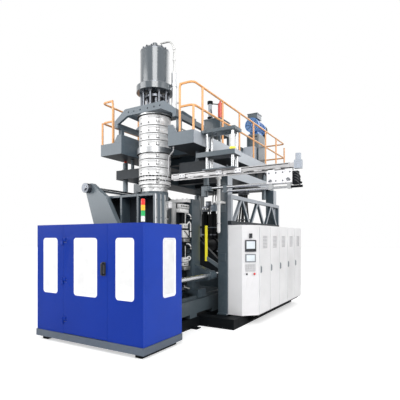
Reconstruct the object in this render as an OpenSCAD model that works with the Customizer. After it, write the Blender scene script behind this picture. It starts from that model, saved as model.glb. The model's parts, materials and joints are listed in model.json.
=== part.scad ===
// Accumulator-head blow moulding machine for large drums.
// Millimetres. The origin is on the floor under the axis of the die head.
// +X runs right along the guard's front, +Y away from that front, +Z up.

/* [Base] */
// Height of the floor sills
base_h = 200; // [160:1:260]
// Width of a floor sill and of a clamp bed beam
sill_w = 220; // [180:1:240]
// Distance from the machine's middle to a bed beam's centre line
bed_x = 680; // [660:1:700]
// Front edge of the wide part of the base
rear_base_y = 438; // [420:1:520]
// Outer edge of the base under the control cabinet
cabinet_base_x = 1557; // [1500:1:1640]
// Diameter of an anchor hole
anchor_d = 28; // [18:1:36]

/* [Clamp] */
// Height of the bed beams' underside
bed_bottom_z = 275; // [270:1:290]
// Height of a bed beam
bed_h = 265; // [240:1:280]
// Front end of the bed beams
bed_front_y = -1560; // [-1600:1:-1500]
// Back end of the bed beams
bed_back_y = 2260; // [2150:1:2400]
// Width of a guide rail
rail_w = 64; // [45:1:80]
// Height of a guide rail
rail_h = 60; // [50:1:70]
// Half width of a platen
platen_half_w = 600; // [560:1:620]
// Distance from the parting plane to a platen's mould face
platen_face_y = 460; // [450:1:480]
// Depth of a platen with its ribs
platen_depth = 324; // [280:1:340]
// Thickness of a platen's mould plate
platen_plate_t = 90; // [60:1:120]
// Thickness of a platen's ribs
rib_t = 45; // [30:1:60]
// Height of a platen's top edge
platen_top_z = 2580; // [2500:1:2620]
// Diameter of a tie bar
tie_bar_d = 90; // [70:1:100]
// Distance from the machine's middle to a tie bar
tie_bar_x = 930; // [920:1:932]
// Height of the upper tie bar
tie_high_z = 2745; // [2700:1:2800]
// Height of the lower tie bar
tie_low_z = 1011; // [980:1:1040]
// Diameter of the hub round a tie bar
hub_d = 182; // [160:1:186]
// Thickness of the diagonal end plates
end_plate_t = 110; // [80:1:130]
// Distance from the parting plane to the rear end plate
rear_plate_y = 1530; // [1510:1:1580]
// Opening stroke of each platen
open_stroke = 350; // [300:1:360]
// Bore of the clamping cylinder
clamp_bore_d = 230; // [200:1:260]
// Diameter of the clamping cylinder's rod
clamp_rod_d = 140; // [110:1:170]
// Height of the clamping cylinder's axis
clamp_z = 1600; // [1500:1:1700]

/* [Mould] */
// Outer radius of the mould's round shell
mould_r = 400; // [380:1:410]
// Height of the mould's underside
mould_bottom_z = 700; // [680:1:720]
// Height of the mould's top
mould_top_z = 2050; // [2000:1:2060]
// Diameter of the moulded drum
drum_d = 590; // [500:1:640]
// Height of the moulded drum
drum_h = 920; // [800:1:1000]
// Height of the drum's bottom end in the mould
drum_z = 900; // [880:1:950]
// Diameter of the blow pin
blow_pin_d = 60; // [40:1:80]
// Stroke of the blow pin
blow_stroke = 140; // [100:1:160]
// Diameter of the cylinder on the rear mould half
mould_cyl_d = 150; // [120:1:170]

/* [Die head] */
// Diameter over the heater bands
band_d = 650; // [600:1:680]
// Diameter of the head's steel body
head_d = 590; // [560:1:596]
// Height of the head body's underside
head_bottom_z = 2826; // [2810:1:2840]
// Height of the head body's top
head_top_z = 4198; // [4190:1:4205]
// Diameter of the wide middle flange
mid_flange_d = 720; // [700:1:760]
// Diameter of the neck under the head
neck_d = 516; // [500:1:540]
// Height of the neck
neck_h = 126; // [100:1:140]
// Diameter of the dark sleeve under the neck
sleeve_d = 540; // [520:1:560]
// Height of the sleeve's lower end
sleeve_bottom_z = 2090; // [2080:1:2150]
// Diameter of the mandrel
mandrel_d = 240; // [200:1:280]
// Downward stroke of the mandrel, which opens the die gap
mandrel_stroke = 30; // [20:1:32]
// Height of the yoke's top
yoke_top_z = 4370; // [4340:1:4400]
// Diameter of a tie rod of the head
tie_rod_d = 44; // [36:1:56]
// Diameter of the circle through the tie rods
tie_rod_pcd = 546; // [530:1:550]
// Clear length of a tie rod between the yoke and the cylinder flange
tie_rod_l = 330; // [310:1:350]
// Thickness of the cylinder flange
cyl_flange_t = 120; // [90:1:140]
// Diameter of the cylinder flange
cyl_flange_d = 746; // [720:1:780]
// Diameter of the top cylinder
top_cyl_d = 590; // [560:1:610]
// Height of the top cylinder from its flange's underside to its cover
top_cyl_h = 870; // [780:1:950]
// Stroke of the accumulator ram
ram_stroke = 120; // [80:1:130]

/* [Platform] */
// Height of the platform beams' underside
platform_z = 3490; // [3480:1:3520]
// Height of a platform beam
platform_beam_h = 240; // [200:1:260]
// Distance from the machine's middle to a beam's inner side
beam_inner_x = 575; // [560:1:600]
// Distance from the machine's middle to a beam's outer side
beam_outer_x = 1146; // [1120:1:1170]
// Front end of the platform
platform_front_y = -363; // [-380:1:-350]
// Back end of the platform
platform_back_y = 4938; // [4900:1:5000]
// Thickness of the walkway plate
deck_t = 8; // [6:1:12]
// Upward stroke of the platform
lift_stroke = 220; // [150:1:230]
// Diameter of a railing tube
rail_tube_d = 42; // [34:1:48]
// Height of the railing over the platform beams
railing_h = 880; // [800:1:1100]
// Height of the railing's middle tube over the beams
mid_rail_h = 460; // [400:1:520]
// Distance between railing posts
post_pitch = 835; // [800:1:850]

/* [Columns and top frame] */
// Distance from the machine's middle to a column's centre
column_x = 1138; // [1130:1:1142]
// Width of a column across X and Y
column_w = 222; // [200:1:222]
// Front face of the front columns
column_front_y = 800; // [790:1:820]
// Distance from the front columns to the rear ones
column_pitch = 2800; // [2700:1:2900]
// Height of the top frame's underside
frame_z = 3064; // [3050:1:3080]
// Height of the top frame's beams
frame_h = 200; // [180:1:210]
// Front end of the top frame
frame_front_y = 120; // [110:1:140]
// Diameter of a platform guide post
guide_post_d = 70; // [60:1:80]
// Diameter of a jack's rod
jack_rod_d = 60; // [50:1:70]

/* [Extruder] */
// Height of the extruder's axis
screw_z = 4080; // [4060:1:4100]
// Diameter of the extruder screw
screw_d = 120; // [90:1:130]
// Diameter of the screw's core
screw_core_d = 76; // [60:1:84]
// Outer diameter of the barrel
barrel_d = 210; // [190:1:230]
// Diameter over the barrel's heaters
barrel_heater_d = 280; // [260:1:300]
// Back end of the barrel
barrel_back_y = 3640; // [3600:1:3700]
// Place of the feed opening along the barrel
feed_y = 3440; // [3400:1:3460]
// Diameter of the drive motor
motor_d = 420; // [360:1:440]
// Height of the motor's axis
motor_z = 5080; // [5040:1:5120]
// Front end of the motor's cowl
motor_front_y = 4060; // [4020:1:4100]
// Length of the motor
motor_l = 640; // [560:1:700]

/* [Take-out robot] */
// Diameter of a robot guide post
robot_post_d = 60; // [50:1:70]
// Left pair of robot posts
robot_post_x = 1250; // [1240:1:1270]
// Distance between the left and right pairs
robot_post_pitch = 520; // [480:1:560]
// Distance between the front and back posts
robot_post_depth = 170; // [150:1:190]
// Height of the robot beam's underside
robot_beam_z = 2925; // [2915:1:2935]
// Height of the robot beam
robot_beam_h = 100; // [90:1:110]
// Left end of the robot beam
robot_beam_x0 = 420; // [400:1:460]
// Right end of the robot beam
robot_beam_x1 = 2780; // [2700:1:2820]
// Upward stroke of the robot
robot_lift = 180; // [120:1:190]
// Travel of the carriage towards the mould
carriage_travel = 780; // [700:1:800]
// Left end of the carriage plate
carriage_x = 2400; // [2380:1:2402]
// Width of the carriage plate
carriage_w = 438; // [400:1:440]
// Opening stroke of each gripper jaw
jaw_stroke = 50; // [30:1:60]

/* [Guard] */
// Half width of the guard over its panels
guard_half_w = 1192; // [1180:1:1220]
// Front face of the guard
guard_front_y = -1838; // [-1860:1:-1820]
// Back edge of the guard's sides
guard_back_y = -825; // [-850:1:-800]
// Height of the guard
guard_h = 2000; // [1900:1:2100]
// Height of the grey plinth's top
plinth_top_z = 180; // [160:1:200]
// Height of the grey plinth's underside
plinth_bottom_z = 68; // [50:1:80]
// Thickness of a panel
panel_t = 40; // [30:1:50]
// Left edge of the safety door
door_x0 = -518; // [-540:1:-500]
// Right edge of the safety door
door_x1 = 485; // [470:1:500]
// Gap round the safety door
door_gap = 4; // [3:1:8]
// Height of the windows' lower edge
window_z0 = 835; // [800:1:900]
// Height of the windows' upper edge
window_z1 = 1778; // [1700:1:1800]
// Corner radius of a window
window_r = 55; // [30:1:80]

/* [Cabinet] */
// Height of the cabinet's top
cabinet_top_z = 2040; // [1950:1:2100]
// Left side of the cabinet
cabinet_x0 = 1262; // [1260:1:1280]
// Outer side of the cabinet
cabinet_x1 = 1823; // [1780:1:1860]
// Front face of the cabinet
cabinet_front_y = 800; // [780:1:820]
// Size of the slanted front corner
chamfer = 253; // [220:1:260]
// Number of cabinet doors
door_count = 5; // [4:1:5]
// Width of a cabinet door with its gap
door_pitch = 615; // [560:1:620]
// Thickness of a cabinet door
sheet_t = 20; // [15:1:25]

/* [Hidden] */
$fn = 64;
tray_t = 20;

// Gap between pieces that meet, and radial clearance of a running fit
seat = 0.3;
run_fit = 0.05;

steel_dark = [0.25, 0.29, 0.33];
steel_grey = [0.45, 0.49, 0.53];
guard_blue = [0.16, 0.26, 0.66];
cabinet_white = [0.92, 0.92, 0.93];
bright = [0.78, 0.79, 0.8];
railing_orange = [0.95, 0.6, 0.25];

sill_in = bed_x - sill_w / 2;
sill_out = bed_x + sill_w / 2;
column_in = column_x - column_w / 2;
column_out = column_x + column_w / 2;
column_rear_y = column_front_y + column_pitch;
cabinet_y1 = cabinet_front_y + chamfer + door_count * door_pitch + 40;
base_back_y = max(column_rear_y + column_w + 120, cabinet_y1 + 10);
bed_top_z = bed_bottom_z + bed_h;
rail_top_z = bed_top_z + rail_h;
shoe_h = 84;
shoe_w = 130;
shoe_l = 150;
platen_foot_h = 80;
platen_foot_z = rail_top_z + 40;
platen_z0 = platen_foot_z + platen_foot_h;
platen_back_y = platen_face_y + platen_depth;
nut_d = 188;
nut_l = 100;
tie_front_y = -platen_back_y - end_plate_t - seat - nut_l - 30;
tie_back_y = rear_plate_y + end_plate_t + nut_l + 30;
platform_top_z = platform_z + platform_beam_h;
frame_top_z = frame_z + frame_h;

// A block between two corners
module block(a, b) {
  translate(a) cube([b[0] - a[0], b[1] - a[1], b[2] - a[2]]);
}

// A rod from a point, along +X, +Y or +Z
module rod_x(p, d, l) {
  translate(p) rotate([0, 90, 0]) cylinder(d = d, h = l);
}

module rod_y(p, d, l) {
  translate(p) rotate([-90, 0, 0]) cylinder(d = d, h = l);
}

module rod_z(p, d, l) {
  translate(p) cylinder(d = d, h = l);
}

// Copies its child to both sides of the machine's middle plane
module both_sides() {
  children();
  mirror([1, 0, 0]) children();
}

// A flat outline in the XZ plane, thickened along +Y from y
module plate_xz(y, t, points) {
  translate([0, y + t, 0]) rotate([90, 0, 0]) linear_extrude(t) polygon(points);
}

// A flat rectangle with round corners
module round_rect(w, h, r) {
  translate([r, 0]) square([w - 2 * r, h]);
  translate([0, r]) square([w, h - 2 * r]);
  for (x = [r, w - r], y = [r, h - r]) {
    translate([x, y]) circle(r = r);
  }
}

// A round-cornered slab in the XZ plane with its lower left front corner at p
module slab_xz(p, w, h, r, t) {
  translate([p[0], p[1] + t, p[2]]) rotate([90, 0, 0]) linear_extrude(t) round_rect(w, h, r);
}

// A round-cornered slab in the YZ plane with its lowest corner at p
module slab_yz(p, w, h, r, t) {
  translate(p) rotate([90, 0, 90]) linear_extrude(t) round_rect(w, h, r);
}

// Base and clamp bed

shelf_t = 12;
lug_w = 130;
lug_l = 160;
clamp_lug_y = [-1400, 200];
column_lug_y = [column_front_y + 400, column_rear_y - 300];

module anchor_lug(x, y) {
  difference() {
    block([x, y - lug_l / 2, 0], [x + lug_w, y + lug_l / 2, tray_t]);
    rod_z([x + lug_w / 2, y, -1], anchor_d, tray_t + 2);
  }
}

module base_frame() {
  color([0.1, 0.11, 0.12]) {
    both_sides() {
      block([sill_in, bed_front_y, 0], [sill_out, rear_base_y - seat, base_h]);
      block([column_in, rear_base_y + sill_w + seat, 0], [column_out, base_back_y - sill_w - seat, base_h]);
      block([sill_in, rear_base_y + sill_w + seat, 0], [sill_out, bed_back_y, base_h]);
      for (y = clamp_lug_y) anchor_lug(sill_out + seat, y);
      for (y = column_lug_y) anchor_lug(column_in - lug_w - seat, y);
    }
    block([-column_out, rear_base_y, 0], [cabinet_base_x, rear_base_y + sill_w, base_h]);
    block([-column_out, base_back_y - sill_w, 0], [cabinet_base_x, base_back_y, base_h]);
    block([cabinet_base_x - sill_w, rear_base_y + sill_w + seat, 0],
      [cabinet_base_x, base_back_y - sill_w - seat, base_h]);
    block([-sill_in + seat, bed_front_y, 0], [sill_in - seat, rear_base_y - seat, tray_t]);
    block([cabinet_x0, cabinet_front_y + chamfer, base_h + seat], [cabinet_x1 - 10, cabinet_y1, base_h + shelf_t]);
    for (i = [0 : 4]) {
      y = rear_base_y + sill_w + 500 + i * (base_back_y - rear_base_y - sill_w - 600) / 4;
      plate_xz(y, 40, [[cabinet_base_x + seat, 40], [cabinet_base_x + seat, base_h], [cabinet_x1 - 60, base_h],
        [cabinet_x1 - 60, base_h - 40]]);
    }
  }
}

foot_l = 260;
foot_y = [bed_front_y, -700, 80, 1000, bed_back_y - foot_l];

module clamp_bed() {
  color(steel_grey) both_sides() {
    block([sill_in, bed_front_y, bed_bottom_z], [sill_out, bed_back_y, bed_top_z]);
    for (y = foot_y) {
      block([sill_in, y, base_h + seat], [sill_out, y + foot_l, bed_bottom_z - seat]);
    }
  }
  color(bright) both_sides() {
    difference() {
      block([bed_x - rail_w / 2, bed_front_y, bed_top_z + seat],
        [bed_x + rail_w / 2, bed_back_y, rail_top_z]);
      for (s = [-1, 1]) {
        translate([bed_x + s * rail_w / 2, bed_front_y - 1, bed_top_z + rail_h / 2])
          rotate([-90, 0, 0]) cylinder(d = 14, h = bed_back_y - bed_front_y + 2);
      }
    }
  }
  color(steel_grey) {
    block([-sill_in + seat, bed_front_y, bed_bottom_z], [sill_in - seat, bed_front_y + 120, bed_top_z]);
    block([-sill_in + seat, bed_back_y - 120, bed_bottom_z], [sill_in - seat, bed_back_y, bed_top_z]);
  }
}

// Columns, top frame and trusses

module columns() {
  color(steel_dark) both_sides() for (y = [column_front_y, column_rear_y]) {
    block([column_in, y, base_h + seat], [column_out, y + column_w, frame_z - seat]);
    block([column_in, y - 50, base_h + seat], [column_out, y + column_w + 50, base_h + 30]);
    for (z = [1300, 2300]) {
      block([column_in + 50, y - 10, z], [column_out - 50, y + 1, z + 160]);
    }
  }
}

frame_beam_w = 180;
frame_out_x = 1165;
frame_side_x = 511;
frame_back_y = column_rear_y + column_w;
cross_ys = [frame_front_y + 700, frame_front_y + 1500, frame_front_y + 2300, frame_front_y + 3100];
bracket_z = frame_top_z + seat;
bracket_t = 90;
robot_y0 = -60;
robot_y1 = robot_y0 + robot_post_depth;
bracket_x0 = frame_out_x - 120;
bracket_x1 = robot_post_x + robot_post_pitch + 70;
bracket_y0 = robot_y0 - 60;
bracket_y1 = robot_y1 + 60;

module post_holes(z, h, d) {
  for (x = [robot_post_x, robot_post_x + robot_post_pitch], y = [robot_y0, robot_y1]) {
    rod_z([x, y, z], d, h);
  }
}

module top_frame() {
  color(steel_dark) {
    both_sides() difference() {
      block([frame_side_x, frame_front_y, frame_z], [frame_out_x, frame_back_y, frame_top_z]);
      for (y = guide_ys) rod_z([jack_x, y, frame_z - 1], jack_d + 2 * seat, frame_h + 2);
    }
    for (y = cross_ys) {
      block([-frame_side_x + seat, y, frame_z + 30],
        [frame_side_x - seat, y + frame_beam_w, frame_top_z - 10]);
    }
    block([-frame_side_x + seat, frame_back_y - frame_beam_w, frame_z],
      [frame_side_x - seat, frame_back_y, frame_top_z]);
    difference() {
      block([bracket_x0, bracket_y0, bracket_z], [bracket_x1, bracket_y1, bracket_z + bracket_t]);
      post_holes(bracket_z - 1, bracket_t + 2, robot_post_d + 2 * run_fit);
    }
  }
}

truss_x = column_out + seat;
truss_w = 80;
truss_top_z = 2665;
truss_low_z = cabinet_top_z + truss_w + 10;
truss_y0 = column_front_y + column_w / 2;
truss_y1 = column_rear_y + column_w / 2;
truss_bays = 3;
truss_pitch = (truss_y1 - truss_y0) / truss_bays;
brace_w = 60;

// One slanted brace between the chords, in the truss's plane
module brace(ya, za, yb, zb) {
  run = yb - ya;
  rise = zb - za;
  half = brace_w / 2 * norm([run, rise]) / abs(rise);
  translate([truss_x + 10, 0, 0]) rotate([90, 0, 90]) linear_extrude(truss_w - 20)
    polygon([[ya - half, za], [ya + half, za], [yb + half, zb], [yb - half, zb]]);
}

module side_truss() {
  block([truss_x, column_front_y, truss_top_z - truss_w], [truss_x + truss_w, column_rear_y + column_w, truss_top_z]);
  block([truss_x, column_front_y, truss_low_z - truss_w], [truss_x + truss_w, column_rear_y + column_w, truss_low_z]);
  for (y = [column_front_y, column_rear_y + column_w - truss_w]) {
    block([truss_x, y, truss_low_z + seat], [truss_x + truss_w, y + truss_w, truss_top_z - truss_w - seat]);
  }
  for (i = [0 : truss_bays - 1]) {
    y = truss_y0 + i * truss_pitch;
    brace(y + 90, truss_low_z + seat, y + truss_pitch / 2 - 40, truss_top_z - truss_w - seat);
    brace(y + truss_pitch / 2 + 40, truss_top_z - truss_w - seat, y + truss_pitch - 90, truss_low_z + seat);
  }
}

module side_trusses() {
  color([0.66, 0.68, 0.7]) both_sides() side_truss();
}

guide_x = 830;
jack_x = 1040;
guide_ys = [280, 3420];
jack_d = 110;
jack_below = lift_stroke + 40;
jack_z0 = frame_z - jack_below;
jack_top_z = platform_z - 45;
guide_over = lift_stroke / 2;

// Grey guide posts and red jacks between the top frame and the platform
module platform_guides() {
  color(steel_grey) both_sides() for (y = guide_ys) {
    rod_z([guide_x, y, frame_top_z + seat], 130, 30);
    rod_z([guide_x, y, frame_top_z + 20], guide_post_d, platform_top_z + guide_over - frame_top_z - 20);
  }
  color([0.75, 0.22, 0.15]) both_sides() for (y = guide_ys) {
    difference() {
      union() {
        rod_z([jack_x, y, jack_z0], jack_d, jack_top_z - jack_z0);
        rod_z([jack_x, y, frame_top_z + seat], jack_d + 60, 30);
      }
      rod_z([jack_x, y, jack_z0 + 20], jack_rod_d + 2 * run_fit, jack_top_z - jack_z0);
    }
  }
}

// Guard

guard_in_y = guard_front_y + panel_t;
post_w = 60;
pin_d = 12;
knuckle_d = 22;
knuckle_h = 60;
hinge_zs = [400, 1060, 1720];
hinge_y = guard_front_y - knuckle_d / 2 - 1;
plinth_lip = 14;
rim_h = 50;

module plinth_bar(a, b) {
  block([a[0], a[1], plinth_bottom_z], [b[0], b[1], plinth_top_z - seat]);
}

module guard_frame() {
  outer = guard_half_w + plinth_lip;
  front = guard_front_y - plinth_lip;
  inner = guard_half_w - 110;
  color([0.42, 0.46, 0.5]) {
    plinth_bar([-outer, front], [outer, guard_front_y + 110]);
    both_sides() plinth_bar([inner, guard_front_y + 110 + seat], [outer, guard_back_y]);
  }
  color([0.08, 0.09, 0.1]) both_sides() {
    block([inner - 90, guard_front_y + 60, 0], [inner + 40, guard_back_y - 60, plinth_bottom_z - seat]);
    block([sill_out + seat, guard_back_y - 320, 10], [inner - 89, guard_back_y - 240, plinth_bottom_z - 10]);
  }
  color(guard_blue) both_sides() {
    for (y = [guard_in_y + seat, guard_back_y - post_w]) {
      block([guard_half_w - panel_t - seat - post_w, y, plinth_top_z],
        [guard_half_w - panel_t - seat, y + post_w, guard_h - rim_h - seat]);
    }
    block([guard_half_w - panel_t - seat - post_w, guard_in_y + seat, guard_h - rim_h],
      [guard_half_w - panel_t - seat, guard_back_y, guard_h - seat]);
  }
  color(guard_blue) {
    for (x = [door_x0 - post_w, door_x1]) {
      block([x, guard_in_y + seat, plinth_top_z], [x + post_w, guard_in_y + seat + post_w, guard_h - rim_h - seat]);
    }
    block([-guard_half_w + panel_t + post_w + 2 * seat, guard_in_y + seat, guard_h - rim_h],
      [guard_half_w - panel_t - post_w - 2 * seat, guard_in_y + seat + post_w, guard_h - seat]);
  }
  color([0.3, 0.3, 0.32]) for (z = hinge_zs) {
    rod_z([door_x0, hinge_y, z - knuckle_h], knuckle_d, knuckle_h - seat);
    rod_z([door_x0, hinge_y, z - 1], pin_d, knuckle_h - 10);
    block([door_x0 - 3 * knuckle_d, hinge_y, z - knuckle_h], [door_x0, guard_front_y - seat, z - seat]);
  }
}

left_window_x = [-1029, -662];
door_window_x = [-263, 268];
right_window_x = [654, 1020];
side_window_y = [-1356, -998];
pane_lip = 16;
pane_t = 6;

module window_cut_xz(xs) {
  slab_xz([xs[0], guard_front_y - 1, window_z0], xs[1] - xs[0], window_z1 - window_z0, window_r, panel_t + 2);
}

module guard_panels() {
  color(guard_blue) {
    difference() {
      block([-guard_half_w, guard_front_y, plinth_top_z], [door_x0 - door_gap / 2, guard_in_y, guard_h]);
      window_cut_xz(left_window_x);
    }
    difference() {
      block([door_x1 + door_gap / 2, guard_front_y, plinth_top_z], [guard_half_w, guard_in_y, guard_h]);
      window_cut_xz(right_window_x);
    }
    both_sides() difference() {
      block([guard_half_w - panel_t, guard_in_y + seat, plinth_top_z], [guard_half_w, guard_back_y, guard_h]);
      slab_yz([guard_half_w - panel_t - 1, side_window_y[0], window_z0], side_window_y[1] - side_window_y[0],
        window_z1 - window_z0, window_r, panel_t + 2);
    }
  }
}

// A pane with its rim, standing in a window cut with a small gap all round
module pane_xz(xs, y) {
  w = xs[1] - xs[0] - 2 * seat;
  h = window_z1 - window_z0 - 2 * seat;
  slab_xz([xs[0] + seat, y, window_z0 + seat], w, h, window_r - seat, pane_t);
  difference() {
    slab_xz([xs[0] + seat, y - 8, window_z0 + seat], w, h, window_r - seat, 30);
    slab_xz([xs[0] + pane_lip, y - 9, window_z0 + pane_lip], w - 2 * pane_lip + 2 * seat,
      h - 2 * pane_lip + 2 * seat, window_r - pane_lip, 32);
  }
}

module guard_windows() {
  color([0.93, 0.95, 0.97]) {
    pane_xz(left_window_x, guard_front_y + 10);
    pane_xz(right_window_x, guard_front_y + 10);
    both_sides() translate([guard_half_w, side_window_y[0], 0]) rotate([0, 0, 90])
      pane_xz([0, side_window_y[1] - side_window_y[0]], 10);
  }
}

door_bottom_z = plinth_top_z + 8;
door_top_z = guard_h;

module safety_door() {
  color(guard_blue) {
    difference() {
      block([door_x0 + door_gap / 2, guard_front_y, door_bottom_z], [door_x1 - door_gap / 2, guard_in_y, door_top_z]);
      window_cut_xz(door_window_x);
    }
    for (z = hinge_zs) {
      difference() {
        union() {
          rod_z([door_x0, hinge_y, z], knuckle_d, knuckle_h);
          block([door_x0, hinge_y, z], [door_x0 + 3 * knuckle_d, guard_front_y + 1, z + knuckle_h]);
        }
        rod_z([door_x0, hinge_y, z - 1], pin_d + 2 * run_fit, knuckle_h + 2);
      }
    }
  }
}

module door_window() {
  color([0.93, 0.95, 0.97]) pane_xz(door_window_x, guard_front_y + 10);
}

handle_x = 411;
handle_w = 90;
handle_z0 = 1187;
handle_z1 = 1403;
handle_proud = 60;
handle_bar = 26;

// D-shaped pull on a dark back plate
module door_handle() {
  y = guard_front_y - seat;
  color([0.1, 0.11, 0.15]) {
    slab_xz([handle_x - handle_w / 2, y - 6, handle_z0], handle_w, handle_z1 - handle_z0, 20, 6);
    difference() {
      slab_yz([handle_x - handle_bar / 2, y - handle_proud, handle_z0 + 10], handle_proud,
        handle_z1 - handle_z0 - 20, 22, handle_bar);
      slab_yz([handle_x - handle_bar / 2 - 1, y - handle_proud + handle_bar, handle_z0 + 10 + handle_bar],
        handle_proud - handle_bar - 6, handle_z1 - handle_z0 - 20 - 2 * handle_bar, 8, handle_bar + 2);
    }
  }
}

lamp_x = guard_half_w - panel_t / 2;
lamp_y = guard_front_y + panel_t / 2;
lamp_d = 60;
lamp_seg_h = 75;

// Foot, short pole and four stacked lenses with grooves between them
module signal_lamp() {
  color([0.9, 0.9, 0.9]) {
    rod_z([lamp_x, lamp_y, guard_h + seat], 34, 12);
    for (i = [0 : 3]) {
      rod_z([lamp_x, lamp_y, guard_h + 12 + i * (lamp_seg_h + 6)], lamp_d, lamp_seg_h);
      rod_z([lamp_x, lamp_y, guard_h + 12 + i * (lamp_seg_h + 6) + lamp_seg_h], lamp_d - 8, 6);
    }
    rod_z([lamp_x, lamp_y, guard_h + 12 + 4 * (lamp_seg_h + 6)], lamp_d - 14, 8);
  }
}

// Control cabinet

cabinet_z0 = base_h + shelf_t + 2 * seat;
first_door_y = cabinet_front_y + chamfer + 20;
cabinet_outline = [[cabinet_x0, cabinet_front_y], [cabinet_x1 - chamfer, cabinet_front_y],
  [cabinet_x1, cabinet_front_y + chamfer], [cabinet_x1, cabinet_y1], [cabinet_x0, cabinet_y1]];
corner_y = first_door_y + 12;
corner_outline = [cabinet_outline[0], cabinet_outline[1], cabinet_outline[2], [cabinet_x1, corner_y],
  [cabinet_x0, corner_y]];
door_frame = 12;
wall_z0 = cabinet_z0 + 50 + seat;
wall_z1 = cabinet_top_z - 60 - seat;
cab_door_gap = 3;
cab_pin_d = 10;
cab_knuckle_d = 18;
cab_knuckle_h = 40;
cab_hinge_in = 12;
cab_hinge_zs = [520, 1760];
door_stand = 2;
cab_hinge_x = cabinet_x1 + door_stand + sheet_t / 2;

module cabinet_shell() {
  color(cabinet_white) {
    translate([0, 0, cabinet_z0]) linear_extrude(50) polygon(cabinet_outline);
    translate([0, 0, cabinet_top_z - 60]) linear_extrude(60) polygon(cabinet_outline);
    difference() {
      translate([0, 0, wall_z0]) linear_extrude(wall_z1 - wall_z0) polygon(corner_outline);
      for (u = [-knob_u, knob_u]) {
        on_slant(u, knob_z, 1) rotate([-90, 0, 0]) cylinder(d = knob_stem_d + 4, h = 25);
      }
    }
    block([cabinet_x0, corner_y + seat, wall_z0], [cabinet_x0 + 30, cabinet_y1, wall_z1]);
    for (i = [1 : door_count]) {
      y = first_door_y + i * door_pitch;
      block([cabinet_x0 + 30 + seat, y - door_frame, wall_z0],
        [cabinet_x1, i == door_count ? cabinet_y1 : y + door_frame, wall_z1]);
    }
    for (i = [0 : door_count - 1], z = cab_hinge_zs) {
      y = first_door_y + (i + 1) * door_pitch - cab_hinge_in;
      rod_z([cab_hinge_x, y, z - cab_knuckle_h], cab_knuckle_d, cab_knuckle_h - seat);
      rod_z([cab_hinge_x, y, z - 1], cab_pin_d, cab_knuckle_h - 5);
      block([cabinet_x1 - 1, y - 5, z - cab_knuckle_h], [cab_hinge_x, y + 5, z - seat]);
    }
  }
  color([0.85, 0.55, 0.25]) for (i = [0 : door_count - 1]) {
    y = first_door_y + i * door_pitch;
    block([cabinet_x0 + 50, y + 50, wall_z0 + 60], [cabinet_x0 + 56, y + door_pitch - 50, wall_z1 - 60]);
    for (z = [wall_z0 + 100, wall_z1 - 160]) {
      block([cabinet_x0 + 30 + seat, y + 80, z], [cabinet_x0 + 51, y + door_pitch - 80, z + 40]);
    }
  }
}

vent_w = 266;
vent_z0 = 1565;
vent_z1 = 1835;
slot_count = 9;

// Flat door with a folded edge, vent slots, hinge knuckles and a swing handle
module cabinet_door(i) {
  y0 = first_door_y + i * door_pitch + cab_door_gap;
  pin_y = first_door_y + (i + 1) * door_pitch - cab_hinge_in;
  y1 = pin_y - cab_hinge_in;
  mid = (y0 + y1) / 2;
  slot_pitch = (vent_z1 - vent_z0) / slot_count;
  x = cabinet_x1 + door_stand;
  color(cabinet_white) {
    difference() {
      block([x, y0, cabinet_z0 + 30], [x + sheet_t, y1, cabinet_top_z - 30]);
      for (k = [0 : slot_count - 1]) {
        block([x - 1, mid - vent_w / 2, vent_z0 + k * slot_pitch],
          [x + sheet_t + 1, mid + vent_w / 2, vent_z0 + (k + 0.5) * slot_pitch]);
      }
    }
    for (z = cab_hinge_zs) {
      difference() {
        union() {
          rod_z([cab_hinge_x, pin_y, z], cab_knuckle_d, cab_knuckle_h);
          block([cab_hinge_x - 6, y1 - 1, z], [cab_hinge_x + 6, pin_y, z + cab_knuckle_h]);
        }
        rod_z([cab_hinge_x, pin_y, z - 1], cab_pin_d + 2 * run_fit, cab_knuckle_h + 2);
      }
    }
    slab_yz([x + sheet_t - 1, y0 + 30, 1060], 34, 150, 12, 9);
    slab_yz([x + sheet_t + 7, y0 + 38, 1080], 18, 110, 8, 16);
  }
}

// A place on the slanted corner panel: u along the panel, out from its face
panel_mid = [cabinet_x1 - chamfer / 2, cabinet_front_y + chamfer / 2];

module on_slant(u, z, out) {
  translate([panel_mid[0], panel_mid[1], z]) rotate([0, 0, 45]) translate([u, -out, 0]) children();
}

screen_w = 233;
screen_z0 = 1502;
screen_z1 = 1736;
aux_w = 220;
aux_z0 = 1292;
aux_z1 = 1453;
keypad_z0 = 1101;
keypad_z1 = 1252;
knob_z = 1052;
knob_u = 80;
knob_stem_d = 20;

module screen(w, z0, z1, t, rim, chin) {
  on_slant(-w / 2, z0, t + seat) difference() {
    cube([w, t, z1 - z0]);
    translate([rim, -1, rim + chin]) cube([w - 2 * rim, 5, z1 - z0 - 2 * rim - chin]);
  }
}

module operator_panels() {
  color([0.15, 0.15, 0.17]) screen(screen_w, screen_z0, screen_z1, 24, 24, 34);
  color([0.5, 0.53, 0.56]) screen(aux_w, aux_z0, aux_z1, 18, 20, 0);
  color([0.75, 0.75, 0.76]) {
    on_slant(-aux_w / 2, keypad_z0, 6 + seat) cube([aux_w, 6, keypad_z1 - keypad_z0]);
    for (i = [0 : 3], j = [0 : 2]) {
      on_slant(-aux_w / 2 + 14 + i * 51, keypad_z0 + 12 + j * 46, 10 + seat) cube([38, 5, 34]);
    }
  }
  color([0.2, 0.2, 0.2]) on_slant(-30, 1776, 30 + seat) cube([60, 30, 91]);
  color([0.6, 0.6, 0.6]) for (u = [-knob_u, knob_u]) {
    on_slant(u, knob_z, 8 + seat) rotate([-90, 0, 0]) difference() {
      cylinder(d = 40, h = 8);
      translate([0, 0, -1]) cylinder(d = knob_stem_d + 2 * run_fit, h = 10);
    }
  }
}

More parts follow.
